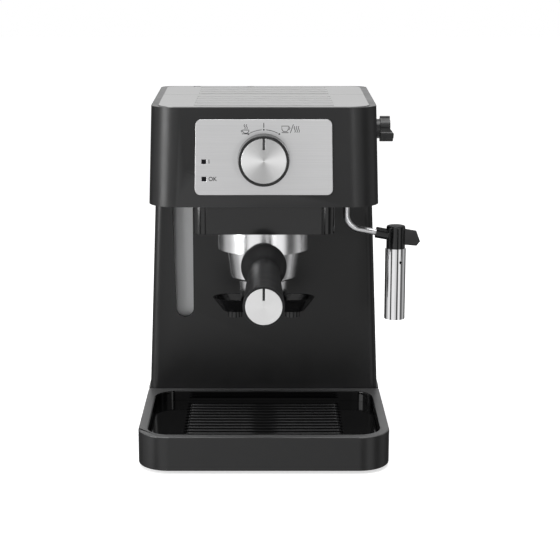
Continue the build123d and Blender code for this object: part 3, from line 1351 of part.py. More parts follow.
with BuildPart() as steam_stem:
    with BuildSketch(Plane.YZ.offset(stem_inner + FIT_GAP)):
        with Locations((steam_knob_y, steam_knob_z)):
            Circle(STEAM_STEM_RADIUS)
    extrude(amount=knob_inner + STEAM_KNOB_LENGTH / 2 - stem_inner - FIT_GAP)
save(steam_stem, "steam_valve_stem")

# Steam knob: round skirt and a fluted grip whose lower half stands out for the thumb
STEAM_KNOB_FLUTE_COUNT = 6
FLUTE_RADIUS = 3.2
knob_outer = knob_inner + STEAM_KNOB_LENGTH
with BuildPart() as steam_knob:
    with BuildSketch(Plane.YZ.offset(knob_inner)):
        with Locations((steam_knob_y, steam_knob_z)):
            Circle(STEAM_KNOB_RADIUS - WALL)
    extrude(amount=STEAM_KNOB_LENGTH / 4)
    with BuildSketch(Plane.YZ.offset(knob_inner + STEAM_KNOB_LENGTH / 4)):
        with Locations((steam_knob_y, steam_knob_z)):
            Circle(STEAM_KNOB_RADIUS)
            with PolarLocations(STEAM_KNOB_RADIUS + FLUTE_RADIUS / 2, STEAM_KNOB_FLUTE_COUNT):
                Circle(FLUTE_RADIUS, mode=Mode.SUBTRACT)
    extrude(amount=STEAM_KNOB_LENGTH * 0.75)
    fillet(steam_knob.edges().group_by(Axis.X)[-1], FIT_GAP * 8)
    with BuildSketch(Plane.XZ.offset(-steam_knob_y - 2 * STEAM_KNOB_RADIUS)):
        Polygon(
            (knob_outer - THUMB_STEP, steam_knob_z + 2 * STEAM_KNOB_RADIUS),
            (knob_outer + THUMB_STEP, steam_knob_z + 2 * STEAM_KNOB_RADIUS),
            (knob_outer + THUMB_STEP, steam_knob_z - THUMB_SLOPE_LOW),
            (knob_outer, steam_knob_z - THUMB_SLOPE_LOW),
            (knob_outer - THUMB_STEP, steam_knob_z + THUMB_SLOPE_HIGH),
            align=None,
        )
    extrude(amount=4 * STEAM_KNOB_RADIUS, mode=Mode.SUBTRACT)
    with BuildSketch(Plane.YZ.offset(knob_inner)):
        with Locations((steam_knob_y, steam_knob_z)):
            Circle(STEAM_STEM_RADIUS)
    extrude(amount=STEAM_KNOB_LENGTH / 2, mode=Mode.SUBTRACT)
save(steam_knob, "steam_knob")

# Steam pipe: from the valve down to the gland nut that the wand turns in
with BuildPart() as wand_gland:
    with BuildSketch(Plane.XY.offset(floor_top)):
        with Locations((WAND_X, wand_y)):
            RegularPolygon(GLAND_NUT_RADIUS, 6)
            Circle(WAND_TUBE_RADIUS + FIT_GAP / 2, mode=Mode.SUBTRACT)
    extrude(amount=GLAND_NUT_HEIGHT)
save(wand_gland, "wand_gland_nut")

with BuildPart() as steam_pipe:
    with BuildSketch(Plane.XY.offset(floor_top + GLAND_NUT_HEIGHT)):
        with Locations((WAND_X, wand_y)):
            Circle(WAND_TUBE_RADIUS)
            Circle(WAND_TUBE_BORE, mode=Mode.SUBTRACT)
    extrude(amount=valve_low - floor_top - GLAND_NUT_HEIGHT)
save(steam_pipe, "steam_pipe")

# Steam wand: bent chrome tube that swivels about its upright leg
socket_left = WAND_JOINT_X - WAND_JOINT_RADIUS - WAND_SOCKET_LENGTH / 2
tube_end_z = wand_joint_z + (wand_elbow_z - wand_joint_z) * 0.25
wand_route = [
    (WAND_X, wand_y, floor_top + GLAND_NUT_HEIGHT - FIT_GAP),
    (WAND_X, wand_y, wand_elbow_z),
    (WAND_JOINT_X - WAND_JOINT_RADIUS, wand_y, tube_end_z),
]
with BuildPart() as wand_tube:
    with BuildLine() as wand_line:
        FilletPolyline(*wand_route, radius=WAND_BEND_RADIUS)
    with BuildSketch(Plane(wand_line.line @ 0, z_dir=wand_line.line % 0)):
        Circle(WAND_TUBE_RADIUS)
        Circle(WAND_TUBE_BORE, mode=Mode.SUBTRACT)
    sweep(path=wand_line.line)
save(wand_tube, "wand_tube")

# Wand joint: black moulded knuckle with a grip tab, over the end of the tube
joint_low = wand_joint_z - WAND_JOINT_HEIGHT / 2
tube_dir = (Vector(*wand_route[2]) - Vector(*wand_route[1])).normalized()
socket_start = Vector(*wand_route[2]) - tube_dir * WAND_SOCKET_LENGTH
with BuildPart() as wand_joint:
    with BuildSketch(Plane.XY.offset(joint_low)):
        with Locations((WAND_JOINT_X, wand_y)):
            Circle(WAND_JOINT_RADIUS)
    extrude(amount=WAND_JOINT_HEIGHT)
    fillet(wand_joint.edges().group_by(Axis.Z)[-1], WALL / 2)
    with BuildSketch(Plane(socket_start, z_dir=tube_dir)):
        Circle(WAND_SOCKET_RADIUS)
    extrude(amount=WAND_SOCKET_LENGTH + WAND_JOINT_RADIUS)
    with BuildSketch(Plane.XZ.offset(-wand_y - WAND_TAB_THICKNESS / 2)):
        with BuildLine():
            Polyline(
                (WAND_JOINT_X, wand_joint_z + WAND_TAB_HEIGHT / 2),
                (WAND_JOINT_X + WAND_TAB_REACH * 0.85, wand_joint_z + WAND_TAB_HEIGHT * 0.3),
                (WAND_JOINT_X + WAND_TAB_REACH, wand_joint_z - WAND_TAB_HEIGHT * 0.25),
                (WAND_JOINT_X + WAND_TAB_REACH * 0.85, wand_joint_z - WAND_TAB_HEIGHT / 2),
                (WAND_JOINT_X, wand_joint_z - WAND_TAB_HEIGHT * 0.4),
                close=True,
            )
        make_face()
    extrude(amount=WAND_TAB_THICKNESS)
    with BuildSketch(Plane(socket_start, z_dir=tube_dir)):
        Circle(WAND_TUBE_RADIUS)
    extrude(amount=WAND_SOCKET_LENGTH, mode=Mode.SUBTRACT)
    with BuildSketch(Plane.XY.offset(joint_low)):
        with Locations((WAND_JOINT_X, wand_y)):
            Circle(NOZZLE_BORE)
    extrude(amount=WAND_JOINT_HEIGHT / 2, mode=Mode.SUBTRACT)
save(wand_joint, "wand_joint")

# Steam nozzle: inner tube under the joint, with a collar ring that the frother sleeve grips
nozzle_top = joint_low
grip_height = WAND_SOCKET_LENGTH
with BuildPart() as steam_nozzle:
    with BuildSketch(Plane.XY.offset(nozzle_top)):
        with Locations((WAND_JOINT_X, wand_y)):
            Circle(NOZZLE_RADIUS)
            Circle(NOZZLE_BORE, mode=Mode.SUBTRACT)
    extrude(amount=-NOZZLE_LENGTH)
    with BuildSketch(Plane.XY.offset(nozzle_top)):
        with Locations((WAND_JOINT_X, wand_y)):
            Circle(FROTHER_RADIUS - FROTHER_WALL - FIT_GAP / 2)
            Circle(NOZZLE_BORE, mode=Mode.SUBTRACT)
    extrude(amount=-grip_height)
save(steam_nozzle, "steam_nozzle")

# Frother sleeve: chrome tube pushed up over the nozzle's collar, with an air hole near the top
with BuildPart() as frother_sleeve:
    with BuildSketch(Plane.XY.offset(nozzle_top - RUN_GAP)):
        with Locations((WAND_JOINT_X, wand_y)):
            Circle(FROTHER_RADIUS)
            Circle(FROTHER_RADIUS - FROTHER_WALL, mode=Mode.SUBTRACT)
    extrude(amount=-FROTHER_LENGTH)
    hole_spot = Location((WAND_JOINT_X, wand_y, nozzle_top - grip_height - WALL), (0, 0, FROTHER_HOLE_TURN))
    with BuildSketch(Plane(hole_spot * Plane.XZ.location)):
        Circle(FROTHER_AIR_HOLE)
    extrude(amount=2 * FROTHER_RADIUS, mode=Mode.SUBTRACT)
save(frother_sleeve, "frother_sleeve")

# Pump: coil block and barrel on end, with a port at each end, on two rubber mounts
coil_low = base_top + PUMP_MOUNT_HEIGHT
coil_top = coil_low + PUMP_COIL_HEIGHT
barrel_top = coil_top + PUMP_BARREL_HEIGHT
inlet_z = coil_low + PUMP_COIL_HEIGHT / 2
inlet_tip = PUMP_X - PUMP_COIL_WIDTH / 2 - PUMP_PORT_LENGTH
with BuildPart() as pump_coil:
    add(
        upright_slab(
            PUMP_X - PUMP_COIL_WIDTH / 2,
            PUMP_X + PUMP_COIL_WIDTH / 2,
            pump_y - PUMP_COIL_WIDTH / 2,
            pump_y + PUMP_COIL_WIDTH / 2,
            coil_low,
            coil_top,
            WALL,
        )
    )
    with BuildSketch(Plane.YZ.offset(inlet_tip)):
        with Locations((pump_y, inlet_z)):
            Circle(PUMP_PORT_RADIUS)
            Circle(HOSE_BORE, mode=Mode.SUBTRACT)
    extrude(amount=PUMP_PORT_LENGTH)
save(pump_coil, "pump_coil")

with BuildPart() as pump_barrel:
    with BuildSketch(Plane.XY.offset(coil_top)):
        with Locations((PUMP_X, pump_y)):
            Circle(PUMP_BARREL_RADIUS)
    extrude(amount=PUMP_BARREL_HEIGHT)
    with BuildSketch(Plane.XY.offset(barrel_top)):
        with Locations((PUMP_X, pump_y)):
            Circle(PUMP_PORT_RADIUS)
    extrude(amount=PUMP_PORT_LENGTH)
    with BuildSketch(Plane.XY.offset(barrel_top + PUMP_PORT_LENGTH)):
        with Locations((PUMP_X, pump_y)):
            Circle(HOSE_BORE)
    extrude(amount=-(PUMP_PORT_LENGTH + PUMP_BARREL_HEIGHT / 2), mode=Mode.SUBTRACT)
save(pump_barrel, "pump_barrel")

pump_mount_span = PUMP_COIL_WIDTH / 2
with BuildPart() as pump_mounts:
    with BuildSketch(Plane.XY.offset(base_top)):
        with Locations((PUMP_X, pump_y)):
            with GridLocations(pump_mount_span, 0, 2, 1):
                Circle(PUMP_MOUNT_RADIUS)
    extrude(amount=coil_low - base_top)
save(pump_mounts, "pump_rubber_mounts")

# Hoses: tank to pump, and pump to boiler
hose_bend = 3 * HOSE_RADIUS
suction = hose(
    [
        (tank_middle_x, tank_middle_y, nipple_bottom),
        (tank_middle_x, tank_middle_y, inlet_z),
        (inlet_tip, tank_middle_y, inlet_z),
    ],
    hose_bend,
)
save(suction, "suction_hose")

delivery = hose(
    [
        (PUMP_X, pump_y, barrel_top + PUMP_PORT_LENGTH),
        (PUMP_X, pump_y, nipple_z),
        (PUMP_X, boiler_y, nipple_z),
        (nipple_end, boiler_y, nipple_z),
    ],
    hose_bend,
)
save(delivery, "delivery_hose")
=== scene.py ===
import json
import math

import bmesh
import bpy
from mathutils import Matrix, Vector


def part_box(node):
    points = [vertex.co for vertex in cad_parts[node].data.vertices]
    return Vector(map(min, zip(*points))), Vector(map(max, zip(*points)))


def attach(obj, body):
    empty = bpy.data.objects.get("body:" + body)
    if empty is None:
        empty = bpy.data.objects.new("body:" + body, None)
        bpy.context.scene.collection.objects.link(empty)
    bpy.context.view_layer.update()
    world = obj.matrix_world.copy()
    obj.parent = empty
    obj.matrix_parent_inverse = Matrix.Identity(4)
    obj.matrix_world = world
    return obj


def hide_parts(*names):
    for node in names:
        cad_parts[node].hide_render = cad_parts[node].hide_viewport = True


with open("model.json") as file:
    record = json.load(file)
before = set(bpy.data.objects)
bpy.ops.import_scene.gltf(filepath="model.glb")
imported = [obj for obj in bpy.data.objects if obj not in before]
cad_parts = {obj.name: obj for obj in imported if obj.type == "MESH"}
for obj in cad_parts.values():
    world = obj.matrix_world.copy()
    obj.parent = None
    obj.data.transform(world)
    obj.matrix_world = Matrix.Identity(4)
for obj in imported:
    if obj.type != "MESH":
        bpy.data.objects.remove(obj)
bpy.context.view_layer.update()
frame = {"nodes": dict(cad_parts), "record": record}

scene = bpy.context.scene
MM = 0.001


# Base plate and rubber feet.
# The base is a dark satin moulding that the column stands on, with a tongue under the drip tray.
# The feet are soft black rubber pads, just seen below the tray at the front.
body_of_node = {n: b for b, names in frame["record"]["behaviour"]["bodies"].items() for n in names}
slot_of_node = {s["node"]: s["material_slot"] for s in frame["record"]["subparts"]}
MERGE_GAP = 0.002 * MM
FLAT_ANGLE = math.radians(0.5)
EDGE_ANGLE = math.radians(28.0)


def finish_copy(node, radius, finish, segments=2):
    """Copy of a CAD node with clean faces, rounded edges and a finish, which stands for that node."""
    mesh = frame["nodes"][node].data.copy()
    mesh.name = node + "_skin"
    mesh.materials.clear()
    form = bmesh.new()
    form.from_mesh(mesh)
    bmesh.ops.remove_doubles(form, verts=form.verts, dist=MERGE_GAP)
    bmesh.ops.dissolve_limit(form, angle_limit=FLAT_ANGLE, verts=form.verts, edges=form.edges)
    for face in form.faces:
        face.smooth = True
    form.to_mesh(mesh)
    form.free()
    mesh.materials.append(finish)
    piece = bpy.data.objects.new(node + "_skin", mesh)
    scene.collection.objects.link(piece)
    edge = piece.modifiers.new("Rounded_edge", "BEVEL")
    edge.width = radius
    edge.segments = segments
    edge.limit_method = "ANGLE"
    edge.angle_limit = EDGE_ANGLE
    normals = piece.modifiers.new("Face_normals", "WEIGHTED_NORMAL")
    normals.keep_sharp = False
    normals.weight = 100
    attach(piece, body_of_node[node])
    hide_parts(node)
    return piece


def shader_group(name, inputs, outputs):
    """Empty shader node group with named sockets, and the two ends that its nodes are linked between."""
    group = bpy.data.node_groups.new(name, "ShaderNodeTree")
    for label, kind, value in inputs:
        socket = group.interface.new_socket(label, in_out="INPUT", socket_type="NodeSocket" + kind)
        socket.default_value = value
    for label, kind in outputs:
        group.interface.new_socket(label, in_out="OUTPUT", socket_type="NodeSocket" + kind)
    given = group.nodes.new("NodeGroupInput")
    result = group.nodes.new("NodeGroupOutput")
    return group, given.outputs, result.inputs


def feed(tree, value, socket):
    """Links an input to another socket, or gives it a plain value."""
    if isinstance(value, bpy.types.NodeSocket):
        tree.links.new(value, socket)
    else:
        socket.default_value = value


def noise_relief(tree, place, scale, detail, strength, depth):
    """Noise over a place, and the relief that it makes: the noise node and the normal's socket."""
    noise = tree.nodes.new("ShaderNodeTexNoise")
    noise.inputs["Detail"].default_value = detail
    feed(tree, place, noise.inputs["Vector"])
    feed(tree, scale, noise.inputs["Scale"])
    bump = tree.nodes.new("ShaderNodeBump")
    bump.inputs["Distance"].default_value = depth
    feed(tree, strength, bump.inputs["Strength"])
    feed(tree, noise.outputs["Fac"], bump.inputs["Height"])
    return noise, bump.outputs["Normal"]


def moulded_grain_group():
    """Fine moulded texture: a slow change of tone, a mask of sharp edges for a painted highlight, and a
    grain's normal.
    """
    group, given, result = shader_group(
        "Moulded_grain",
        [("Grain Scale", "Float", 2600.0), ("Grain Strength", "Float", 0.1)],
        [("Tone", "Float"), ("Edge Sheen", "Float"), ("Normal", "Vector")],
    )
    place = group.nodes.new("ShaderNodeTexCoord").outputs["Object"]
    scale = given["Grain Scale"]
    strength = given["Grain Strength"]
    normal = noise_relief(group, place, scale, detail=3.0, strength=strength, depth=0.1 * MM)[1]
    cloud = group.nodes.new("ShaderNodeTexNoise")
    cloud.inputs["Scale"].default_value = 38.0
    cloud.inputs["Detail"].default_value = 4.0
    group.links.new(place, cloud.inputs["Vector"])
    # Sharp edges, found by pointiness, get a painted highlight.
    shape = group.nodes.new("ShaderNodeNewGeometry")
    edge = group.nodes.new("ShaderNodeMapRange")
    edge.inputs["From Min"].default_value = 0.52
    edge.inputs["From Max"].default_value = 0.58
    group.links.new(shape.outputs["Pointiness"], edge.inputs["Value"])
    group.links.new(cloud.outputs["Fac"], result["Tone"])
    group.links.new(edge.outputs["Result"], result["Edge Sheen"])
    group.links.new(normal, result["Normal"])
    return group


moulded_grain = moulded_grain_group()


def blank_material(name):
    """New material with its node tree, and its shader."""
    material = bpy.data.materials.new(name)
    material.use_nodes = True
    return material, material.node_tree, material.node_tree.nodes["Principled BSDF"]


def effect_node(tree, effect, settings):
    """Shared effect in a tree, with its settings; gives its outputs."""
    node = tree.nodes.new("ShaderNodeGroup")
    node.node_tree = effect
    for label, value in settings.items():
        feed(tree, value, node.inputs[label])
    return node.outputs


def colour_mix(tree, low, high, factor):
    """Mixes two colours, each a triple or a socket, by a factor, and gives the mixed colour's socket."""
    colour_a = 6
    colour_b = 7
    mixed = 2
    mix = tree.nodes.new("ShaderNodeMix")
    mix.data_type = "RGBA"
    for index, colour in ((colour_a, low), (colour_b, high)):
        linked = isinstance(colour, bpy.types.NodeSocket)
        feed(tree, colour if linked else (*colour, 1.0), mix.inputs[index])
    tree.links.new(factor, mix.inputs[0])
    return mix.outputs[mixed]


def dress(tree, shader, colour, tone, rough):
    """Gives a shader its colour, and a roughness that follows a tone of 0.3 to 0.7."""
    spread = tree.nodes.new("ShaderNodeMapRange")
    spread.inputs["From Min"].default_value = 0.3
    spread.inputs["From Max"].default_value = 0.7
    spread.inputs["To Min"].default_value = rough[0]
    spread.inputs["To Max"].default_value = rough[1]
    tree.links.new(tone, spread.inputs["Value"])
    tree.links.new(colour, shader.inputs["Base Color"])
    tree.links.new(spread.outputs["Result"], shader.inputs["Roughness"])


def moulded(name, dark, light, edge, rough, shine=0.5, grain_scale=2600.0, grain_strength=0.1):
    """Moulded plastic or rubber with a fine grain, a slow change of tone and edges made paler by a painted
    highlight.
    """
    material, tree, shader = blank_material(name)
    shader.inputs["Specular IOR Level"].default_value = shine
    grain = effect_node(tree, moulded_grain, {"Grain Scale": grain_scale, "Grain Strength": grain_strength})
    tone = colour_mix(tree, dark, light, grain["Tone"])
    # The edge colour is a painted highlight on sharp edges, where light catches them.
    edge_sheened = colour_mix(tree, tone, edge, grain["Edge Sheen"])
    dress(tree, shader, edge_sheened, grain["Tone"], rough)
    tree.links.new(grain["Normal"], shader.inputs["Normal"])
    return material


satin_black = moulded(
    "Satin_black",
    dark=(0.0065, 0.0065, 0.0068),
    light=(0.0095, 0.0095, 0.0098),
    edge=(0.022, 0.022, 0.0225),
    rough=(0.31, 0.38),
    shine=0.36,
)
black_rubber = moulded(
    "Black_rubber",
    dark=(0.012, 0.012, 0.012),
    light=(0.022, 0.022, 0.022),
    edge=(0.06, 0.06, 0.062),
    rough=(0.7, 0.85),
    grain_scale=900.0,
    grain_strength=0.3,
)
finish_copy("base_plate", 0.6 * MM, satin_black)
finish_copy("rubber_feet", 0.8 * MM, black_rubber)


# Column shell and rear cover.
# The column is a satin black moulding with a round-ended slot for the tank window, with painted shade on the
# slot's wall.
# The rear cover is a flat panel with cooling slots and a rubber bush low down.
def paint_faces(piece, finish, chosen):
    """Gives one more finish to the faces of a piece that a test chooses."""
    piece.data.materials.append(finish)
    index = len(piece.data.materials) - 1
    for face in piece.data.polygons:
        if chosen(face):
            face.material_index = index


SLOT_MIDDLE = -70.2 * MM
SLOT_REACH = 12.0 * MM
SLOT_BOTTOM = 94.0 * MM
SLOT_DEPTH = 14.0 * MM
SLOT_FACING = 0.4
slot_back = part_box("column_shell")[0].y + SLOT_DEPTH


def slot_wall(face):
    """True on the slot's inner wall, which looks sideways, up or down."""
    near = abs(face.center.x - SLOT_MIDDLE) < SLOT_REACH and face.center.z > SLOT_BOTTOM
    return near and face.center.y < slot_back and abs(face.normal.y) < SLOT_FACING


# Near-black finish for the slot's wall: painted shade where the recess lies in shadow.
slot_painted_shade = moulded(
    "Slot_painted_shade",
    dark=(0.002, 0.002, 0.0021),
    light=(0.003, 0.003, 0.0032),
    edge=(0.004, 0.004, 0.0042),
    rough=(0.5, 0.6),
    shine=0.08,
)
column_shell = finish_copy("column_shell", 0.5 * MM, satin_black)
paint_faces(column_shell, slot_painted_shade, slot_wall)
finish_copy("rear_cover", 0.5 * MM, satin_black)
finish_copy("mains_inlet_gland", 0.7 * MM, black_rubber, segments=3)


# Screws on the base and the rear cover.
# Bright zinc pan heads with a cross recess, the same screw at each place.
# Geometry nodes put one modelled head at each of the places.
def metal_noise_group():
    """Slow change of tone and fine pitting for plain machined or plated metal."""
    group, given, result = shader_group(
        "Metal_noise",
        [("Scale", "Float", 220.0), ("Strength", "Float", 0.06)],
        [("Tone", "Float"), ("Normal", "Vector")],
    )
    place = group.nodes.new("ShaderNodeTexCoord").outputs["Object"]
    scale = given["Scale"]
    strength = given["Strength"]
    noise, normal = noise_relief(group, place, scale, detail=5.0, strength=strength, depth=0.05 * MM)
    group.links.new(noise.outputs["Fac"], result["Tone"])
    group.links.new(normal, result["Normal"])
    return group


metal_noise = metal_noise_group()


def plain_metal(name, dark, light, rough, scale=220.0, strength=0.06):
    """Plated, cast or machined metal with a slow change of tone."""
    material, tree, shader = blank_material(name)
    shader.inputs["Metallic"].default_value = 1.0
    noise = effect_node(tree, metal_noise, {"Scale": scale, "Strength": strength})
    dress(tree, shader, colour_mix(tree, dark, light, noise["Tone"]), noise["Tone"], rough)
    tree.links.new(noise["Normal"], shader.inputs["Normal"])
    return material


zinc = plain_metal("Zinc_steel", (0.42, 0.42, 0.43), (0.6, 0.6, 0.6), rough=(0.29, 0.42))


def skin_rings(form, rings):
    """Faces from each ring of vertices to the next."""
    count = len(rings[0])
    for first, second in zip(rings, rings[1:]):
        for index in range(count):
            after = (index + 1) % count
            form.faces.new((first[index], first[after], second[after], second[index]))


def form_object(form, name):
    """Object made of a finished form, with its faces turned outward."""
    bmesh.ops.recalc_face_normals(form, faces=form.faces)
    mesh = bpy.data.meshes.new(name)
    form.to_mesh(mesh)
    form.free()
    return bpy.data.objects.new(name, mesh)


SCREW_HEAD_RADIUS = 3.4 * MM
SCREW_HEAD_HEIGHT = 2.2 * MM
SCREW_SHOULDER = 0.35 * SCREW_HEAD_HEIGHT
SCREW_SHANK_RADIUS = 1.6 * MM
SCREW_SHANK_LENGTH = 14.0 * MM
SCREW_TIP_RADIUS = 0.3 * SCREW_SHANK_RADIUS
CROSS_ARM = 0.12 * SCREW_HEAD_RADIUS
CROSS_REACH = 0.52 * SCREW_HEAD_RADIUS
CROSS_DEPTH = 0.45 * SCREW_HEAD_HEIGHT
SCREW_STEPS = 28
CROWN_STEPS = 4


def screw_form():
    """Pan-head screw along +Z with a cross recess, its head's seat at the origin."""
    form = bmesh.new()
    profile = [(SCREW_TIP_RADIUS, -SCREW_SHANK_LENGTH)]
    profile += [(SCREW_SHANK_RADIUS, SCREW_SHANK_RADIUS - SCREW_SHANK_LENGTH), (SCREW_SHANK_RADIUS, 0.0)]
    profile += [(SCREW_HEAD_RADIUS, 0.0), (SCREW_HEAD_RADIUS, SCREW_SHOULDER)]
    for turn in range(1, CROWN_STEPS + 1):
        bend = turn * math.pi / 10
        rise = (SCREW_HEAD_HEIGHT - SCREW_SHOULDER) * math.sin(bend)
        profile.append((SCREW_HEAD_RADIUS * math.cos(bend), SCREW_SHOULDER + rise))
    rings = []
    for radius, level in profile:
        ring = []
        for step in range(SCREW_STEPS):
            around = 2 * math.pi * step / SCREW_STEPS
            ring.append(form.verts.new((radius * math.cos(around), radius * math.sin(around), level)))
        rings.append(ring)
    skin_rings(form, rings)
    form.faces.new(rings[0][::-1])
    corners = []
    for quarter in range(4):
        spin = Matrix.Rotation(quarter * math.pi / 2, 3, "Z")
        for x, y in ((CROSS_REACH, -CROSS_ARM), (CROSS_REACH, CROSS_ARM), (CROSS_ARM, CROSS_ARM)):
            corners.append(spin @ Vector((x, y, 0.0)))
    top = profile[-1][1]
    lip = [form.verts.new((c.x, c.y, top)) for c in corners]
    floor_ring = [form.verts.new((c.x, c.y, top - CROSS_DEPTH)) for c in corners]
    skin_rings(form, [lip, floor_ring])
    form.faces.new(floor_ring)
    open_edges = []
    for loop in (rings[-1], lip):
        for index, vert in enumerate(loop):
            open_edges.append(form.edges.get((vert, loop[(index + 1) % len(loop)])))
    bmesh.ops.triangle_fill(form, use_beauty=True, edges=open_edges)
    return form_object(form, "screw_form")


def scatter_group():
    """Geometry nodes: one copy of a form at each point, turned as asked, as real faces with a finish."""
    group = bpy.data.node_groups.new("Scatter_form", "GeometryNodeTree")
    given_kinds = {"Points": "Geometry", "Form": "Object", "Turn": "Rotation", "Finish": "Material"}
    for label, kind in given_kinds.items():
        group.interface.new_socket(label, in_out="INPUT", socket_type="NodeSocket" + kind)
    group.interface.new_socket("Copies", in_out="OUTPUT", socket_type="NodeSocketGeometry")
    nodes = group.nodes
    link = group.links.new
    given = nodes.new("NodeGroupInput")
    result = nodes.new("NodeGroupOutput")
    form = nodes.new("GeometryNodeObjectInfo")
    place = nodes.new("GeometryNodeInstanceOnPoints")
    real = nodes.new("GeometryNodeRealizeInstances")
    paint = nodes.new("GeometryNodeSetMaterial")
    link(given.outputs["Form"], form.inputs["Object"])
    link(given.outputs["Points"], place.inputs["Points"])
    link(form.outputs["Geometry"], place.inputs["Instance"])
    link(given.outputs["Turn"], place.inputs["Rotation"])
    link(place.outputs["Instances"], real.inputs["Geometry"])
    link(real.outputs["Geometry"], paint.inputs["Geometry"])
    link(given.outputs["Finish"], paint.inputs["Material"])
    link(paint.outputs["Geometry"], result.inputs["Copies"])
    return group


scatter = scatter_group()
SHARP_ANGLE = math.radians(35.0)


def scatter_copies(name, points, form, turn, finish, node):
    """Piece made of copies of a form at the given points, with the body of a CAD node."""
    scene.collection.objects.link(form)
    seed_mesh = bpy.data.meshes.new(name + "_points")
    seed_mesh.from_pydata([tuple(p) for p in points], [], [])
    seed = bpy.data.objects.new(name + "_points", seed_mesh)
    scene.collection.objects.link(seed)
    layout = seed.modifiers.new("Layout", "NODES")
    layout.node_group = scatter
    values = {"Form": form, "Turn": turn, "Finish": finish}
    for item in scatter.interface.items_tree:
        if item.in_out == "INPUT" and item.name in values:
            layout[item.identifier] = values[item.name]
    bpy.context.view_layer.update()
    ready = seed.evaluated_get(bpy.context.evaluated_depsgraph_get())
    mesh = bpy.data.meshes.new_from_object(ready)
    for face in mesh.polygons:
        face.use_smooth = True
    mesh.set_sharp_from_angle(angle=SHARP_ANGLE)
    piece = bpy.data.objects.new(name, mesh)
    scene.collection.objects.link(piece)
    bpy.data.objects.remove(seed)
    bpy.data.objects.remove(form)
    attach(piece, body_of_node[node])
    return piece


def node_islands(node):
    """Lowest and highest corners of each separate solid in a CAD node."""
    form = bmesh.new()
    form.from_mesh(frame["nodes"][node].data)
    bmesh.ops.remove_doubles(form, verts=form.verts, dist=MERGE_GAP)
    seen = set()
    boxes = []
    for start in form.verts:
        if start in seen:
            continue
        seen.add(start)
        island = [start]
        for vert in island:
            for edge in vert.link_edges:
                other = edge.other_vert(vert)
                if other not in seen:
                    seen.add(other)
                    island.append(other)
        low = Vector([min(v.co[axis] for v in island) for axis in range(3)])
        high = Vector([max(v.co[axis] for v in island) for axis in range(3)])
        boxes.append((low, high))
    form.free()
    return boxes


rear_points = []
for low, high in node_islands("rear_screws"):
    rear_points.append(((low.x + high.x) / 2, high.y - SCREW_HEAD_HEIGHT, (low.z + high.z) / 2))
to_the_rear = (-math.pi / 2, 0.0, 0.0)
rear_screws = scatter_copies("rear_screw_heads", rear_points, screw_form(), to_the_rear, zinc, "rear_screws")
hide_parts("rear_screws")

base_points = []
for low, high in node_islands("base_screws"):
    base_points.append(((low.x + high.x) / 2, (low.y + high.y) / 2, low.z + SCREW_HEAD_HEIGHT))
downward = (math.pi, 0.0, 0.0)
base_screws = scatter_copies("base_screw_heads", base_points, screw_form(), downward, zinc, "base_screws")
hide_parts("base_screws")


# Upper housing and group collar.
# The housing is a satin black casing with broad front corners, and the glossier collar hangs under it.
# Their edges are softly rounded and catch a thin line of light.
collar_black = moulded(
    "Collar_black",
    dark=(0.004, 0.004, 0.0043),
    light=(0.006, 0.006, 0.0063),
    edge=(0.008, 0.008, 0.0083),
    rough=(0.07, 0.12),
    grain_scale=2000.0,
    grain_strength=0.03,
)
finish_copy("upper_housing", 0.9 * MM, satin_black, segments=3)
finish_copy("group_collar", 0.8 * MM, collar_black, segments=3)


# Cup deck: the cup plate in front and the skin of the tank lid behind it.
# Brushed steel sheet with pressed beads across it, brushed along the beads, with painted shade on their near
# slopes.
# The lid's carrier below the skin is black plastic, and it turns on two zinc pins.
def brushed_group():
    """Fine straight brush lines along one axis: a tone and a normal."""
    group, given, result = shader_group(
        "Brushed_lines",
        [("Stretch", "Vector", (6.0, 900.0, 900.0))],
        [("Tone", "Float"), ("Normal", "Vector")],
    )
    place = group.nodes.new("ShaderNodeTexCoord")
    stretch = group.nodes.new("ShaderNodeVectorMath")
    stretch.operation = "MULTIPLY"
    group.links.new(place.outputs["Object"], stretch.inputs[0])
    group.links.new(given["Stretch"], stretch.inputs[1])
    spots = stretch.outputs["Vector"]
    lines, normal = noise_relief(group, spots, scale=3.0, detail=4.0, strength=0.12, depth=0.05 * MM)
    lines.inputs["Roughness"].default_value = 0.65
    group.links.new(lines.outputs["Fac"], result["Tone"])
    group.links.new(normal, result["Normal"])
    return group


brushed_lines = brushed_group()


def brushed(name, dark, light, rough, stretch, metal=1.0):
    """Brushed steel or aluminium sheet; less metal gives the duller look of a coarse brushing."""
    material, tree, shader = blank_material(name)
    shader.inputs["Metallic"].default_value = metal
    lines = effect_node(tree, brushed_lines, {"Stretch": stretch})
    dress(tree, shader, colour_mix(tree, dark, light, lines["Tone"]), lines["Tone"], rough)
    tree.links.new(lines["Normal"], shader.inputs["Normal"])
    return material


BEAD_UPWARD = 0.1
BEAD_SLOPE = -0.12


def near_slope(face):
    """True on the slopes of the beads that look to the front or to the left, which get painted shade."""
    return face.normal.z > BEAD_UPWARD and (face.normal.y < BEAD_SLOPE or face.normal.x < BEAD_SLOPE)


DECK_BRUSH = (8.0, 900.0, 900.0)
deck_steel = brushed(
    "Deck_steel", (0.26, 0.26, 0.26), (0.34, 0.34, 0.34), rough=(0.28, 0.38), stretch=DECK_BRUSH, metal=0.4
)
# Darker copy of the deck steel: painted shade on the beads' near slopes.
bead_painted_shade = brushed(
    "Bead_painted_shade", (0.13, 0.13, 0.13), (0.17, 0.17, 0.17), rough=(0.3, 0.4), stretch=DECK_BRUSH, metal=0.6
)
cup_plate = finish_copy("cup_plate", 0.35 * MM, deck_steel)
paint_faces(cup_plate, bead_painted_shade, near_slope)
lid_skin = finish_copy("lid_skin", 0.25 * MM, deck_steel)
paint_faces(lid_skin, bead_painted_shade, near_slope)
finish_copy("tank_lid", 0.4 * MM, satin_black)


def paint_node(node, finish):
    """Gives a finish to a CAD node that keeps its own shape."""
    mesh = frame["nodes"][node].data
    mesh.materials.clear()
    mesh.materials.append(finish)


paint_node("lid_hinge_pins", zinc)


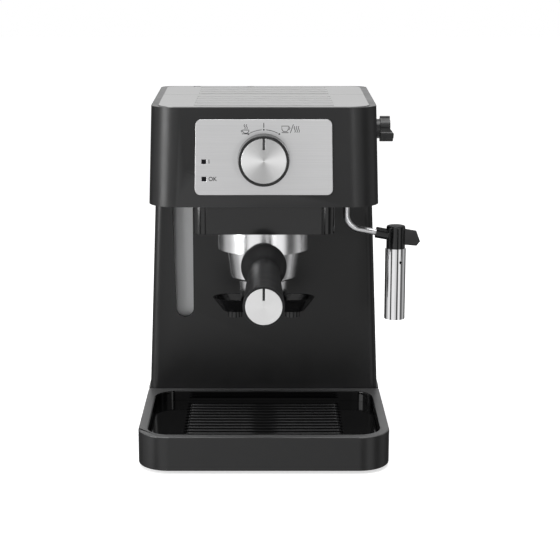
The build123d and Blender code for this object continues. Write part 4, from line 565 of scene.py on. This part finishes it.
# Control panel with its printed marks and its two lamps.
# A brushed silver plate with rounded corners and dark printing: a dial arc, plain icons and two labels.
# The lamps are small square black lenses set flush in the plate.
PANEL_BRUSH = (7.0, 900.0, 900.0)
panel_steel = brushed(
    "Panel_steel", (0.6, 0.6, 0.605), (0.74, 0.74, 0.745), rough=(0.29, 0.37), stretch=PANEL_BRUSH
)
lens_black = moulded(
    "Lens_black",
    dark=(0.002, 0.002, 0.003),
    light=(0.004, 0.004, 0.005),
    edge=(0.005, 0.005, 0.006),
    rough=(0.3, 0.36),
    shine=0.1,
    grain_scale=1500.0,
    grain_strength=0.02,
)
print_ink = moulded(
    "Print_ink",
    dark=(0.008, 0.008, 0.009),
    light=(0.014, 0.014, 0.015),
    edge=(0.015, 0.015, 0.016),
    rough=(0.5, 0.6),
    shine=0.15,
    grain_scale=4000.0,
    grain_strength=0.05,
)
finish_copy("control_panel", 0.3 * MM, panel_steel)
finish_copy("indicator_lenses", 0.25 * MM, lens_black)

PRINT_HEIGHT = 0.04 * MM
knob_low, knob_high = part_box("selector_knob")
knob_x = (knob_low.x + knob_high.x) / 2
knob_z = (knob_low.z + knob_high.z) / 2
print_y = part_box("control_panel")[0].y


def print_vert(form, x, z):
    """Vertex on the panel's face, at a place in millimetres from the knob's centre."""
    return form.verts.new((knob_x + x * MM, print_y, knob_z + z * MM))


def stroke(form, points, width, closed=False):
    """Flat printed line along points given as (x, z) from the knob's centre, in millimetres."""
    count = len(points)
    rims = []
    for index in range(count):
        before = points[index - 1] if index or closed else points[0]
        after = points[(index + 1) % count] if index < count - 1 or closed else points[-1]
        along = (Vector(after) - Vector(before)).normalized()
        across = Vector((-along.y, along.x)) * width / 2
        spots = (Vector(points[index]) + across, Vector(points[index]) - across)
        rims.append([print_vert(form, spot.x, spot.y) for spot in spots])
    runs = list(zip(rims, rims[1:]))
    if closed:
        runs.append((rims[-1], rims[0]))
    for first, second in runs:
        form.faces.new((first[0], first[1], second[1], second[0]))


def arc_points(centre, radius, start, end, steps):
    """Points on an arc; angles in degrees, from straight up, clockwise."""
    spots = []
    for step in range(steps + 1):
        turn = math.radians(start + (end - start) * step / steps)
        spots.append((centre[0] + radius * math.sin(turn), centre[1] + radius * math.cos(turn)))
    return spots


def disc(form, centre, radius):
    """Flat printed dot."""
    form.faces.new([print_vert(form, x, z) for x, z in arc_points(centre, radius, 0, 345, 23)])


DIAL_CENTRE = (0.0, 0.0)
DIAL_RADIUS = 23.6
DIAL_SWING = 31.0
DIAL_LINE = 0.44
END_GAP = 3.0
MIDDLE_GAP = 4.0
DOT_RADIUS = 0.65
TICK_LINE = 0.6
TICK_FOOT = DIAL_RADIUS + 1.6
TICK_HEAD = DIAL_RADIUS + 5.4
marks = bmesh.new()
for arc_start, arc_end in ((END_GAP - DIAL_SWING, -MIDDLE_GAP), (MIDDLE_GAP, DIAL_SWING - END_GAP)):
    stroke(marks, arc_points(DIAL_CENTRE, DIAL_RADIUS, arc_start, arc_end, 14), DIAL_LINE)
for dot_centre in arc_points(DIAL_CENTRE, DIAL_RADIUS, -DIAL_SWING, DIAL_SWING, 2):
    disc(marks, dot_centre, DOT_RADIUS)
stroke(marks, [(0.0, TICK_FOOT), (0.0, TICK_HEAD)], TICK_LINE)

ICON_LINE = 0.48
STEAM_PITCH = 1.6
STEAM_SWAY = 0.45
STEAM_STEPS = 12


def steam_marks(form, x, z, count, height):
    """Row of plain wavy lines for steam."""
    for column in range(count):
        wave = []
        for step in range(STEAM_STEPS + 1):
            share = step / STEAM_STEPS
            sway = STEAM_SWAY * math.sin(share * 2 * math.pi)
            wave.append((x + column * STEAM_PITCH + sway, z + share * height))
        stroke(form, wave, ICON_LINE)


def cup_mark(form, x, z, width, height):
    """Plain cup seen from the side, with a handle and a saucer line."""
    half = width / 2
    waist = half * 0.9
    waist_z = z + height * 0.35
    foot = half * 0.5
    ear = (x + half * 0.95, z + height * 0.62)
    ear_radius = height * 0.28
    saucer_z = z - 1.0
    bowl = [(x - half, z + height), (x - waist, waist_z), (x - foot, z)]
    bowl += [(x + foot, z), (x + waist, waist_z), (x + half, z + height)]
    stroke(form, bowl, ICON_LINE, closed=True)
    stroke(form, arc_points(ear, ear_radius, 10, 170, 10), ICON_LINE)
    stroke(form, [(x - half, saucer_z), (x + half, saucer_z)], ICON_LINE)


def bowl_mark(form, x, z, radius):
    """Plain half-round bowl with a spout, a line below it and steam above it."""
    spout = (x - 2.7, z - 0.9)
    spout_radius = 0.8
    line_z = z - 3.0
    line_half = 3.0
    stroke(form, arc_points((x, z), radius, 90, 270, 14), ICON_LINE, closed=True)
    stroke(form, arc_points(spout, spout_radius, 190, 350, 8), ICON_LINE)
    stroke(form, [(x - line_half, line_z), (x + line_half, line_z)], ICON_LINE)
    steam_marks(form, x - 0.8, z + 0.8, count=2, height=3.6)


SLASH = [(20.8, 21.0), (23.2, 27.8)]
bowl_mark(marks, x=-14.2, z=23.4, radius=2.6)
cup_mark(marks, x=16.7, z=22.3, width=5.4, height=4.2)
stroke(marks, SLASH, ICON_LINE)
steam_marks(marks, x=24.3, z=21.4, count=3, height=5.0)
bmesh.ops.recalc_face_normals(marks, faces=marks.faces)
for ink_face in marks.faces:
    if ink_face.normal.y > 0:
        ink_face.normal_flip()
marks_mesh = bpy.data.meshes.new("panel_marks")
marks.to_mesh(marks_mesh)
marks.free()


def printed(name, mesh):
    """Raised ink on the panel, from flat faces that look to the front."""
    piece = bpy.data.objects.new(name, mesh)
    scene.collection.objects.link(piece)
    ink = piece.modifiers.new("Ink", "SOLIDIFY")
    ink.thickness = PRINT_HEIGHT
    ink.offset = 1.0
    mesh.materials.clear()
    mesh.materials.append(print_ink)
    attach(piece, body_of_node["control_panel"])


printed("panel_marks", marks_mesh)
LABEL_GAP = 1.8 * MM
LABEL_SIZE = 4.5 * MM
INK_SPREAD = 0.07 * MM


def label(name, text, x, z):
    """Short printed label on the panel, centred on a height."""
    words = bpy.data.curves.new(name, "FONT")
    words.body = text
    words.size = LABEL_SIZE
    words.offset = INK_SPREAD
    words.align_y = "CENTER"
    holder = bpy.data.objects.new(name + "_text", words)
    scene.collection.objects.link(holder)
    bpy.context.view_layer.update()
    mesh = bpy.data.meshes.new_from_object(holder.evaluated_get(bpy.context.evaluated_depsgraph_get()))
    bpy.data.objects.remove(holder)
    mesh.transform(Matrix.Translation((x, print_y, z)) @ Matrix.Rotation(math.pi / 2, 4, "X"))
    printed(name, mesh)


lower_lamp, upper_lamp = sorted(node_islands("indicator_lenses"), key=lambda corners: corners[0].z)
label_x = lower_lamp[1].x + LABEL_GAP
label("label_ready", "OK", label_x, (lower_lamp[0].z + lower_lamp[1].z) / 2)
label("label_power", "I", label_x, (upper_lamp[0].z + upper_lamp[1].z) / 2)


# Selector knob.
# A glossy black skirt with a spun metal cap, and a black pointer line from the cap's edge.
# The cap's ring-shaped tooling marks stretch its highlights, and painted shade above and below its centre
# leaves paler fans to the sides.
def maths(tree, kind, operation, *values):
    """Maths node fed with sockets or plain values; gives its outputs."""
    node = tree.nodes.new("ShaderNode" + kind)
    node.operation = operation
    for value, socket in zip(values, node.inputs):
        feed(tree, value, socket)
    return node.outputs


def spun_group():
    """Turned metal about an axis along Y: a tone in fine rings, a two-sided fan mask for painted shade, and a
    tangent.
    """
    group, given, result = shader_group(
        "Spun_rings",
        [("Centre", "Vector", (0.0, 0.0, 0.0))],
        [("Tone", "Float"), ("Painted Fan", "Float"), ("Tangent", "Vector")],
    )
    place = group.nodes.new("ShaderNodeTexCoord").outputs["Object"]
    arm = maths(group, "VectorMath", "SUBTRACT", place, given["Centre"])["Vector"]
    flat = maths(group, "VectorMath", "MULTIPLY", arm, (1.0, 0.0, 1.0))["Vector"]
    around = maths(group, "VectorMath", "CROSS_PRODUCT", flat, (0.0, 1.0, 0.0))["Vector"]
    unit = maths(group, "VectorMath", "NORMALIZE", around)["Vector"]
    radius = maths(group, "VectorMath", "LENGTH", flat)["Value"]
    rings = group.nodes.new("ShaderNodeTexNoise")
    rings.noise_dimensions = "1D"
    rings.inputs["Scale"].default_value = 5200.0
    rings.inputs["Detail"].default_value = 3.0
    group.links.new(radius, rings.inputs["W"])
    parts = group.nodes.new("ShaderNodeSeparateXYZ")
    group.links.new(flat, parts.inputs["Vector"])
    turn = maths(group, "Math", "ARCTAN2", parts.outputs["Z"], parts.outputs["X"])["Value"]
    twice = maths(group, "Math", "MULTIPLY", turn, 2.0)["Value"]
    swell = maths(group, "Math", "COSINE", twice)["Value"]
    painted_fan = group.nodes.new("ShaderNodeMapRange")
    painted_fan.inputs["From Min"].default_value = -1.0
    group.links.new(swell, painted_fan.inputs["Value"])
    group.links.new(rings.outputs["Fac"], result["Tone"])
    group.links.new(painted_fan.outputs["Result"], result["Painted Fan"])
    group.links.new(unit, result["Tangent"])
    return group


spun_rings = spun_group()


def spun_metal(name, dark, light, rough, centre, anisotropy, painted_fan):
    """Turned metal face with rings about a centre, with painted shade above and below that leaves the sides
    paler.
    """
    material, tree, shader = blank_material(name)
    shader.inputs["Metallic"].default_value = 1.0
    shader.inputs["Anisotropic"].default_value = anisotropy
    rings = effect_node(tree, spun_rings, {"Centre": centre})
    ringed = colour_mix(tree, dark, light, rings["Tone"])
    # Painted shade: the base colour is darkened above and below the centre, leaving the sides paler.
    shaded = colour_mix(tree, [c * painted_fan for c in dark], ringed, rings["Painted Fan"])
    dress(tree, shader, shaded, rings["Tone"], rough)
    tree.links.new(rings["Tangent"], shader.inputs["Tangent"])
    return material


gloss_black = moulded(
    "Gloss_black",
    dark=(0.003, 0.003, 0.0032),
    light=(0.006, 0.006, 0.0063),
    edge=(0.012, 0.012, 0.013),
    rough=(0.07, 0.13),
    grain_scale=1500.0,
    grain_strength=0.02,
)
knob_spun = spun_metal(
    "Knob_spun",
    dark=(0.96, 0.96, 0.96),
    light=(1.0, 1.0, 1.0),
    rough=(0.28, 0.38),
    centre=(knob_x, 0.0, knob_z),
    anisotropy=0.75,
    painted_fan=0.44,
)
finish_copy("selector_knob", 0.5 * MM, gloss_black, segments=3)
finish_copy("selector_knob_cap", 0.25 * MM, knob_spun)


# Filter holder, basket, twin spout and brew handle.
# A softly polished chrome cup and ring, a plain steel basket, a glossy black spout and a matt black grip.
# The grip ends in a pale turned disc with a black pointer line at the top.
holder_chrome = plain_metal(
    "Holder_chrome", (0.8, 0.8, 0.81), (0.9, 0.9, 0.91), rough=(0.17, 0.24), scale=90.0, strength=0.01
)
grip_black = moulded(
    "Grip_black",
    dark=(0.008, 0.008, 0.0085),
    light=(0.011, 0.011, 0.0115),
    edge=(0.018, 0.018, 0.019),
    rough=(0.5, 0.6),
    shine=0.22,
)
cap_low, cap_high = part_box("brew_handle_cap")
cap_centre = (cap_low + cap_high) / 2
# The disc gets a faint painted shade above and below its centre.
handle_disc = spun_metal(
    "Handle_disc",
    dark=(0.84, 0.84, 0.84),
    light=(0.92, 0.92, 0.92),
    rough=(0.4, 0.5),
    centre=(cap_centre.x, 0.0, cap_centre.z),
    anisotropy=0.3,
    painted_fan=0.96,
)
finish_copy("filter_holder", 0.7 * MM, holder_chrome, segments=3)
finish_copy("filter_basket", 0.15 * MM, zinc)
finish_copy("twin_spout", 0.5 * MM, gloss_black, segments=3)
finish_copy("brew_handle", 0.8 * MM, grip_black, segments=3)
finish_copy("brew_handle_cap", 0.2 * MM, handle_disc)


# Brew group, seal, shower screen and the hidden water works.
# Cast and machined metals with rubber seals, seen when the handle or the tank is out.
# Each keeps its CAD shape and gets the finish of its own kind.
cast_aluminium = plain_metal(
    "Cast_aluminium", (0.42, 0.42, 0.43), (0.58, 0.58, 0.59), rough=(0.42, 0.6), scale=400.0, strength=0.2
)
brass = plain_metal(
    "Brass", (0.6, 0.42, 0.17), (0.74, 0.56, 0.27), rough=(0.29, 0.42), scale=160.0, strength=0.05
)
silicone = moulded(
    "Silicone_hose",
    dark=(0.5, 0.5, 0.48),
    light=(0.6, 0.6, 0.57),
    edge=(0.7, 0.7, 0.68),
    rough=(0.35, 0.5),
    grain_scale=700.0,
)
inner_finish = {
    "aluminium": cast_aluminium,
    "brass": brass,
    "rubber": black_rubber,
    "hose_clear": silicone,
    "zinc_steel": zinc,
    "lens_black": lens_black,
    "casing_black": satin_black,
}
inner_nodes = ["brew_group", "group_seal", "shower_screen", "shower_screen_screw", "boiler_lower"]
inner_nodes += ["boiler_seal", "boiler_upper", "boiler_screws", "thermostats", "steam_valve"]
inner_nodes += ["steam_feed_pipe", "steam_pipe", "steam_valve_stem", "wand_gland_nut", "pump_coil"]
inner_nodes += ["pump_barrel", "pump_rubber_mounts", "suction_hose", "delivery_hose", "lamp_board"]
inner_nodes += ["selector_switch", "selector_shaft", "tank_shelf", "valve_seat", "tank_valve"]
for inner in inner_nodes:
    paint_node(inner, inner_finish[slot_of_node[inner]])


# Water tank.
# A smoky plastic box behind the column's slot, with the grip bar across its mouth.
# The plastic is frosted and lets little light through, so the slot shows an even mid grey.
def tank_plastic():
    """Smoky plastic with a slow change of tone."""
    material, tree, shader = blank_material("Tank_plastic")
    shader.inputs["Transmission Weight"].default_value = 0.3
    shader.inputs["IOR"].default_value = 1.49
    noise = effect_node(tree, metal_noise, {"Scale": 12.0})
    tint = colour_mix(tree, (0.56, 0.565, 0.57), (0.58, 0.585, 0.59), noise["Tone"])
    dress(tree, shader, tint, noise["Tone"], (0.32, 0.36))
    return material


finish_copy("water_tank", 0.5 * MM, tank_plastic())
finish_copy("tank_handle", 0.3 * MM, satin_black)


# Steam knob, steam wand and frother.
# A fluted black knob on the side; a thin satin steel tube, a black knuckle with a tab, and a chrome sleeve.
# The knuckle's top is matt; the real sleeve's small air hole near its top is not drawn.
KNUCKLE_UPWARD = 0.6


def knuckle_top(face):
    """True on the upper faces of the knuckle."""
    return face.normal.z > KNUCKLE_UPWARD


knob_black = moulded(
    "Knob_black",
    dark=(0.007, 0.007, 0.0073),
    light=(0.01, 0.01, 0.0103),
    edge=(0.014, 0.014, 0.0143),
    rough=(0.29, 0.34),
)
wand_steel = plain_metal(
    "Wand_steel", (0.56, 0.56, 0.57), (0.66, 0.66, 0.67), rough=(0.29, 0.34), scale=90.0, strength=0.01
)
chrome = plain_metal(
    "Polished_chrome", (0.78, 0.78, 0.79), (0.88, 0.88, 0.89), rough=(0.05, 0.1), scale=90.0, strength=0.01
)
finish_copy("steam_knob", 0.5 * MM, knob_black, segments=3)
finish_copy("wand_tube", 0.2 * MM, wand_steel)
wand_joint = finish_copy("wand_joint", 0.8 * MM, gloss_black, segments=3)
paint_faces(wand_joint, grip_black, knuckle_top)
finish_copy("steam_nozzle", 0.3 * MM, satin_black)
finish_copy("frother_sleeve", 0.3 * MM, chrome)


# Drip tray and cup grid.
# The tray's outside is satin black, and a painted sheen makes the top of its rim paler; its well and the grid
# in it are glossy black.
# Low rounded ribs stand on the lands between the grid's slots.
RIM_WIDTH = 8.0 * MM
RIM_TOP_DEPTH = 1.0 * MM
RIM_UPWARD = 0.5
WELL_SLACK = 0.2 * MM
WELL_DROP = 0.1 * MM
WELL_FLOOR = 5.0 * MM
tray_low, tray_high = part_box("drip_tray")
tray_middle = (tray_low + tray_high) / 2
well_half_x = tray_high.x - RIM_WIDTH + WELL_SLACK
well_half_y = (tray_high.y - tray_low.y) / 2 - RIM_WIDTH + WELL_SLACK


def in_well(face):
    """True on the faces inside the tray's rim, from its floor up to just below its top."""
    inside_x = abs(face.center.x - tray_middle.x) < well_half_x
    inside_y = abs(face.center.y - tray_middle.y) < well_half_y
    inside_z = tray_low.z + WELL_FLOOR < face.center.z < tray_high.z - WELL_DROP
    return inside_x and inside_y and inside_z


def rim_top(face):
    """True on the upper faces of the tray's rim, which get a painted sheen."""
    return face.normal.z > RIM_UPWARD and face.center.z > tray_high.z - RIM_TOP_DEPTH


tray_black = moulded(
    "Tray_black",
    dark=(0.006, 0.006, 0.0063),
    light=(0.009, 0.009, 0.0093),
    edge=(0.016, 0.016, 0.0165),
    rough=(0.29, 0.34),
    shine=0.45,
)
well_black = moulded(
    "Well_black",
    dark=(0.002, 0.002, 0.0021),
    light=(0.003, 0.003, 0.0032),
    edge=(0.004, 0.004, 0.0042),
    rough=(0.05, 0.09),
    shine=0.3,
    grain_scale=1500.0,
    grain_strength=0.02,
)
# Much paler black for the rim's top: a painted sheen where it catches light from above.
rim_painted_sheen = moulded(
    "Rim_painted_sheen",
    dark=(0.07, 0.07, 0.071),
    light=(0.085, 0.085, 0.086),
    edge=(0.09, 0.09, 0.091),
    rough=(0.4, 0.48),
)
drip_tray = finish_copy("drip_tray", 1.2 * MM, tray_black, segments=3)
paint_faces(drip_tray, well_black, in_well)
paint_faces(drip_tray, rim_painted_sheen, rim_top)
finish_copy("cup_grid", 0.5 * MM, well_black)

GRID_PITCH = 8.0 * MM
GRID_LANDS = 13
RIB_LENGTH = 128.0 * MM
RIB_WIDTH = 3.4 * MM
RIB_HEIGHT = 1.3 * MM
RIB_SUNK = 0.4 * MM
RIB_STEPS = 10
RIB_END = [(-0.5, 0.05), (-0.497, 0.5), (-0.49, 0.8), (-0.475, 1.0)]


def rib_form():
    """Low rounded rib along X, arched in section and drawn in at its ends, its foot sunk below the origin."""
    form = bmesh.new()
    stations = RIB_END + [(-share, swell) for share, swell in RIB_END[::-1]]
    rings = []
    for share, swell in stations:
        along = share * RIB_LENGTH
        half = swell * RIB_WIDTH / 2
        ring = [form.verts.new((along, -half, -RIB_SUNK))]
        for step in range(RIB_STEPS + 1):
            lean = math.pi * step / RIB_STEPS
            ring.append(form.verts.new((along, -math.cos(lean) * half, math.sin(lean) * swell * RIB_HEIGHT)))
        ring.append(form.verts.new((along, half, -RIB_SUNK)))
        rings.append(ring)
    skin_rings(form, rings)
    form.faces.new(rings[0])
    form.faces.new(rings[-1])
    return form_object(form, "rib_form")


land_black = moulded(
    "Land_black",
    dark=(0.004, 0.004, 0.0042),
    light=(0.007, 0.007, 0.0073),
    edge=(0.008, 0.008, 0.0083),
    rough=(0.1, 0.14),
    shine=0.25,
    grain_scale=1500.0,
    grain_strength=0.0,
)
grid_low, grid_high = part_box("cup_grid")
grid_middle = (grid_low + grid_high) / 2
rib_points = []
for land in range(GRID_LANDS):
    shift = (land - (GRID_LANDS - 1) / 2) * GRID_PITCH
    rib_points.append((grid_middle.x, grid_middle.y + shift, grid_high.z))
scatter_copies("grid_ribs", rib_points, rib_form(), (0.0, 0.0, 0.0), land_black, "cup_grid")


# Floor, light and camera.
# A plain white sweep with soft lamps at both sides and above, as in a product studio.
# The camera stands in front, a little above, with the photograph's framing.
CAMERA_BACK = 1.2914
CAMERA_HEIGHT = 0.4096
CAMERA_PITCH = 0.2126
FOCAL_PIXELS = 1533.6
IMAGE_PIXELS = 560.0
CENTRE_PIXELS = 263.8
SENSOR = 36.0
lens = bpy.data.cameras.new("Camera")
lens.sensor_width = SENSOR
lens.lens = SENSOR * FOCAL_PIXELS / IMAGE_PIXELS
lens.shift_x = (IMAGE_PIXELS / 2 - CENTRE_PIXELS) / IMAGE_PIXELS
lens.clip_end = 50.0
camera = bpy.data.objects.new("Camera", lens)
camera.location = (0.0, -CAMERA_BACK, CAMERA_HEIGHT)
camera.rotation_euler = (math.pi / 2 - CAMERA_PITCH, 0.0, 0.0)
scene.collection.objects.link(camera)
scene.camera = camera
scene.view_settings.view_transform = "Standard"

FLOOR_SIZE = 6.0
floor_corners = [(x * FLOOR_SIZE, y * FLOOR_SIZE, 0.0) for x, y in ((-1, -1), (1, -1), (1, 1), (-1, 1))]
floor_mesh = bpy.data.meshes.new("floor")
floor_mesh.from_pydata(floor_corners, [], [(0, 1, 2, 3)])
floor = bpy.data.objects.new("floor", floor_mesh)
scene.collection.objects.link(floor)


def screens_group():
    """Tone of the studio seen in a direction, for reflections: pale screens with dark gaps between them."""
    group, given, result = shader_group(
        "Studio_screens", [("Direction", "Vector", (0.0, 0.0, 0.0))], [("Tone", "Color")]
    )
    parts = group.nodes.new("ShaderNodeSeparateXYZ")
    group.links.new(given["Direction"], parts.inputs["Vector"])
    across = group.nodes.new("ShaderNodeMapRange")
    across.inputs["From Min"].default_value = -1.0
    group.links.new(parts.outputs["X"], across.inputs["Value"])
    beside = maths(group, "Math", "ABSOLUTE", parts.outputs["X"])["Value"]
    front_stops = [(0.0, 0.95), (0.08, 0.95), (0.1, 0.05), (0.17, 0.05), (0.19, 0.95), (0.4, 0.95)]
    front_stops += [(0.45, 0.8), (0.57, 0.76), (0.62, 0.06), (0.72, 0.06)]
    front_stops += [(0.76, 0.95), (0.88, 0.95), (0.93, 0.1)]
    rear_stops = [(0.0, 1.0), (0.22, 1.0), (0.34, 0.08), (0.8, 0.08), (0.95, 0.5)]
    rows = []
    for factor, stops in ((across.outputs["Result"], front_stops), (beside, rear_stops)):
        row = group.nodes.new("ShaderNodeValToRGB")
        while len(row.color_ramp.elements) < len(stops):
            row.color_ramp.elements.new(1.0)
        for element, (spot, tone) in zip(row.color_ramp.elements, stops):
            element.position = spot
            element.color = (tone, tone, tone, 1.0)
        group.links.new(factor, row.inputs["Fac"])
        rows.append(row.outputs["Color"])
    behind = group.nodes.new("ShaderNodeMapRange")
    behind.interpolation_type = "SMOOTHSTEP"
    behind.inputs["From Min"].default_value = -0.3
    behind.inputs["From Max"].default_value = 0.15
    group.links.new(parts.outputs["Y"], behind.inputs["Value"])
    group.links.new(colour_mix(group, rows[0], rows[1], behind.outputs["Result"]), result["Tone"])
    return group


studio_screens = screens_group()


def mix_shaders(tree, factor, first, second, end):
    """Leads two shaders, mixed by a factor, to the end node of a tree."""
    mix = tree.nodes.new("ShaderNodeMixShader")
    for socket, source in zip(mix.inputs, (factor, first, second)):
        tree.links.new(source, socket)
    tree.links.new(mix.outputs["Shader"], tree.nodes[end].inputs["Surface"])


FLOOR_GLOW = 0.6
floor_material, floor_tree, floor_shader = blank_material("Floor_white")
floor_shader.inputs["Base Color"].default_value = (0.9, 0.9, 0.9, 1.0)
floor_shader.inputs["Roughness"].default_value = 0.8
floor_path = floor_tree.nodes.new("ShaderNodeLightPath").outputs
floor_gain = maths(floor_tree, "Math", "MULTIPLY", floor_path["Is Camera Ray"], FLOOR_GLOW)["Value"]
floor_glow = floor_tree.nodes.new("ShaderNodeEmission")
floor_tree.links.new(floor_gain, floor_glow.inputs["Strength"])
floor_sum = floor_tree.nodes.new("ShaderNodeAddShader")
floor_tree.links.new(floor_shader.outputs["BSDF"], floor_sum.inputs[0])
floor_tree.links.new(floor_glow.outputs["Emission"], floor_sum.inputs[1])
floor_view = floor_tree.nodes.new("ShaderNodeNewGeometry").outputs["Incoming"]
floor_away = maths(floor_tree, "VectorMath", "MULTIPLY", floor_view, (-1.0, -1.0, -1.0))["Vector"]
floor_screens = effect_node(floor_tree, studio_screens, {"Direction": floor_away})
floor_mirror = floor_tree.nodes.new("ShaderNodeEmission")
floor_tree.links.new(floor_screens["Tone"], floor_mirror.inputs["Color"])
floor_seen = floor_sum.outputs["Shader"]
mix_shaders(
    floor_tree, floor_path["Is Glossy Ray"], floor_seen, floor_mirror.outputs["Emission"], "Material Output"
)
floor_mesh.materials.append(floor_material)

SKY_FILL = 0.5
WHITE = (1.0, 1.0, 1.0)
world = bpy.data.worlds.new("Studio")
scene.world = world
world.use_nodes = True
sky = world.node_tree
sky_fill = sky.nodes["Background"]
sky_fill.inputs["Color"].default_value = (*WHITE, 1.0)
sky_fill.inputs["Strength"].default_value = SKY_FILL
sky_place = sky.nodes.new("ShaderNodeTexCoord").outputs["Generated"]
sky_screens = effect_node(sky, studio_screens, {"Direction": sky_place})
sky_path = sky.nodes.new("ShaderNodeLightPath").outputs
sky_seen = sky.nodes.new("ShaderNodeBackground")
sky_tone = colour_mix(sky, WHITE, sky_screens["Tone"], sky_path["Is Glossy Ray"])
sky.links.new(sky_tone, sky_seen.inputs["Color"])
sky_direct = maths(sky, "Math", "MAXIMUM", sky_path["Is Camera Ray"], sky_path["Is Glossy Ray"])["Value"]
sky_factor = maths(sky, "Math", "MAXIMUM", sky_direct, sky_path["Is Transmission Ray"])["Value"]
mix_shaders(
    sky, sky_factor, sky_fill.outputs["Background"], sky_seen.outputs["Background"], "World Output"
)


def soft_lamp(name, place, aim, size, power):
    """Large soft lamp that points at a place."""
    lamp = bpy.data.lights.new(name, "AREA")
    lamp.shape = "RECTANGLE"
    lamp.size = size[0]
    lamp.size_y = size[1]
    lamp.energy = power
    holder = bpy.data.objects.new(name, lamp)
    holder.location = place
    holder.rotation_euler = (Vector(aim) - Vector(place)).to_track_quat("-Z", "Y").to_euler()
    scene.collection.objects.link(holder)


FRONT_AIM = (0.0, -0.05, 0.16)
TOP_AIM = (0.0, -0.05, 0.2)
soft_lamp("Lamp_left", (-1.0, -0.62, 0.3), FRONT_AIM, size=(0.5, 0.56), power=8.0)
soft_lamp("Lamp_right", (0.5, -1.15, 0.24), FRONT_AIM, size=(0.16, 0.46), power=1.5)
soft_lamp("Lamp_top", (0.0, -0.2, 1.3), TOP_AIM, size=(1.0, 0.8), power=11.0)
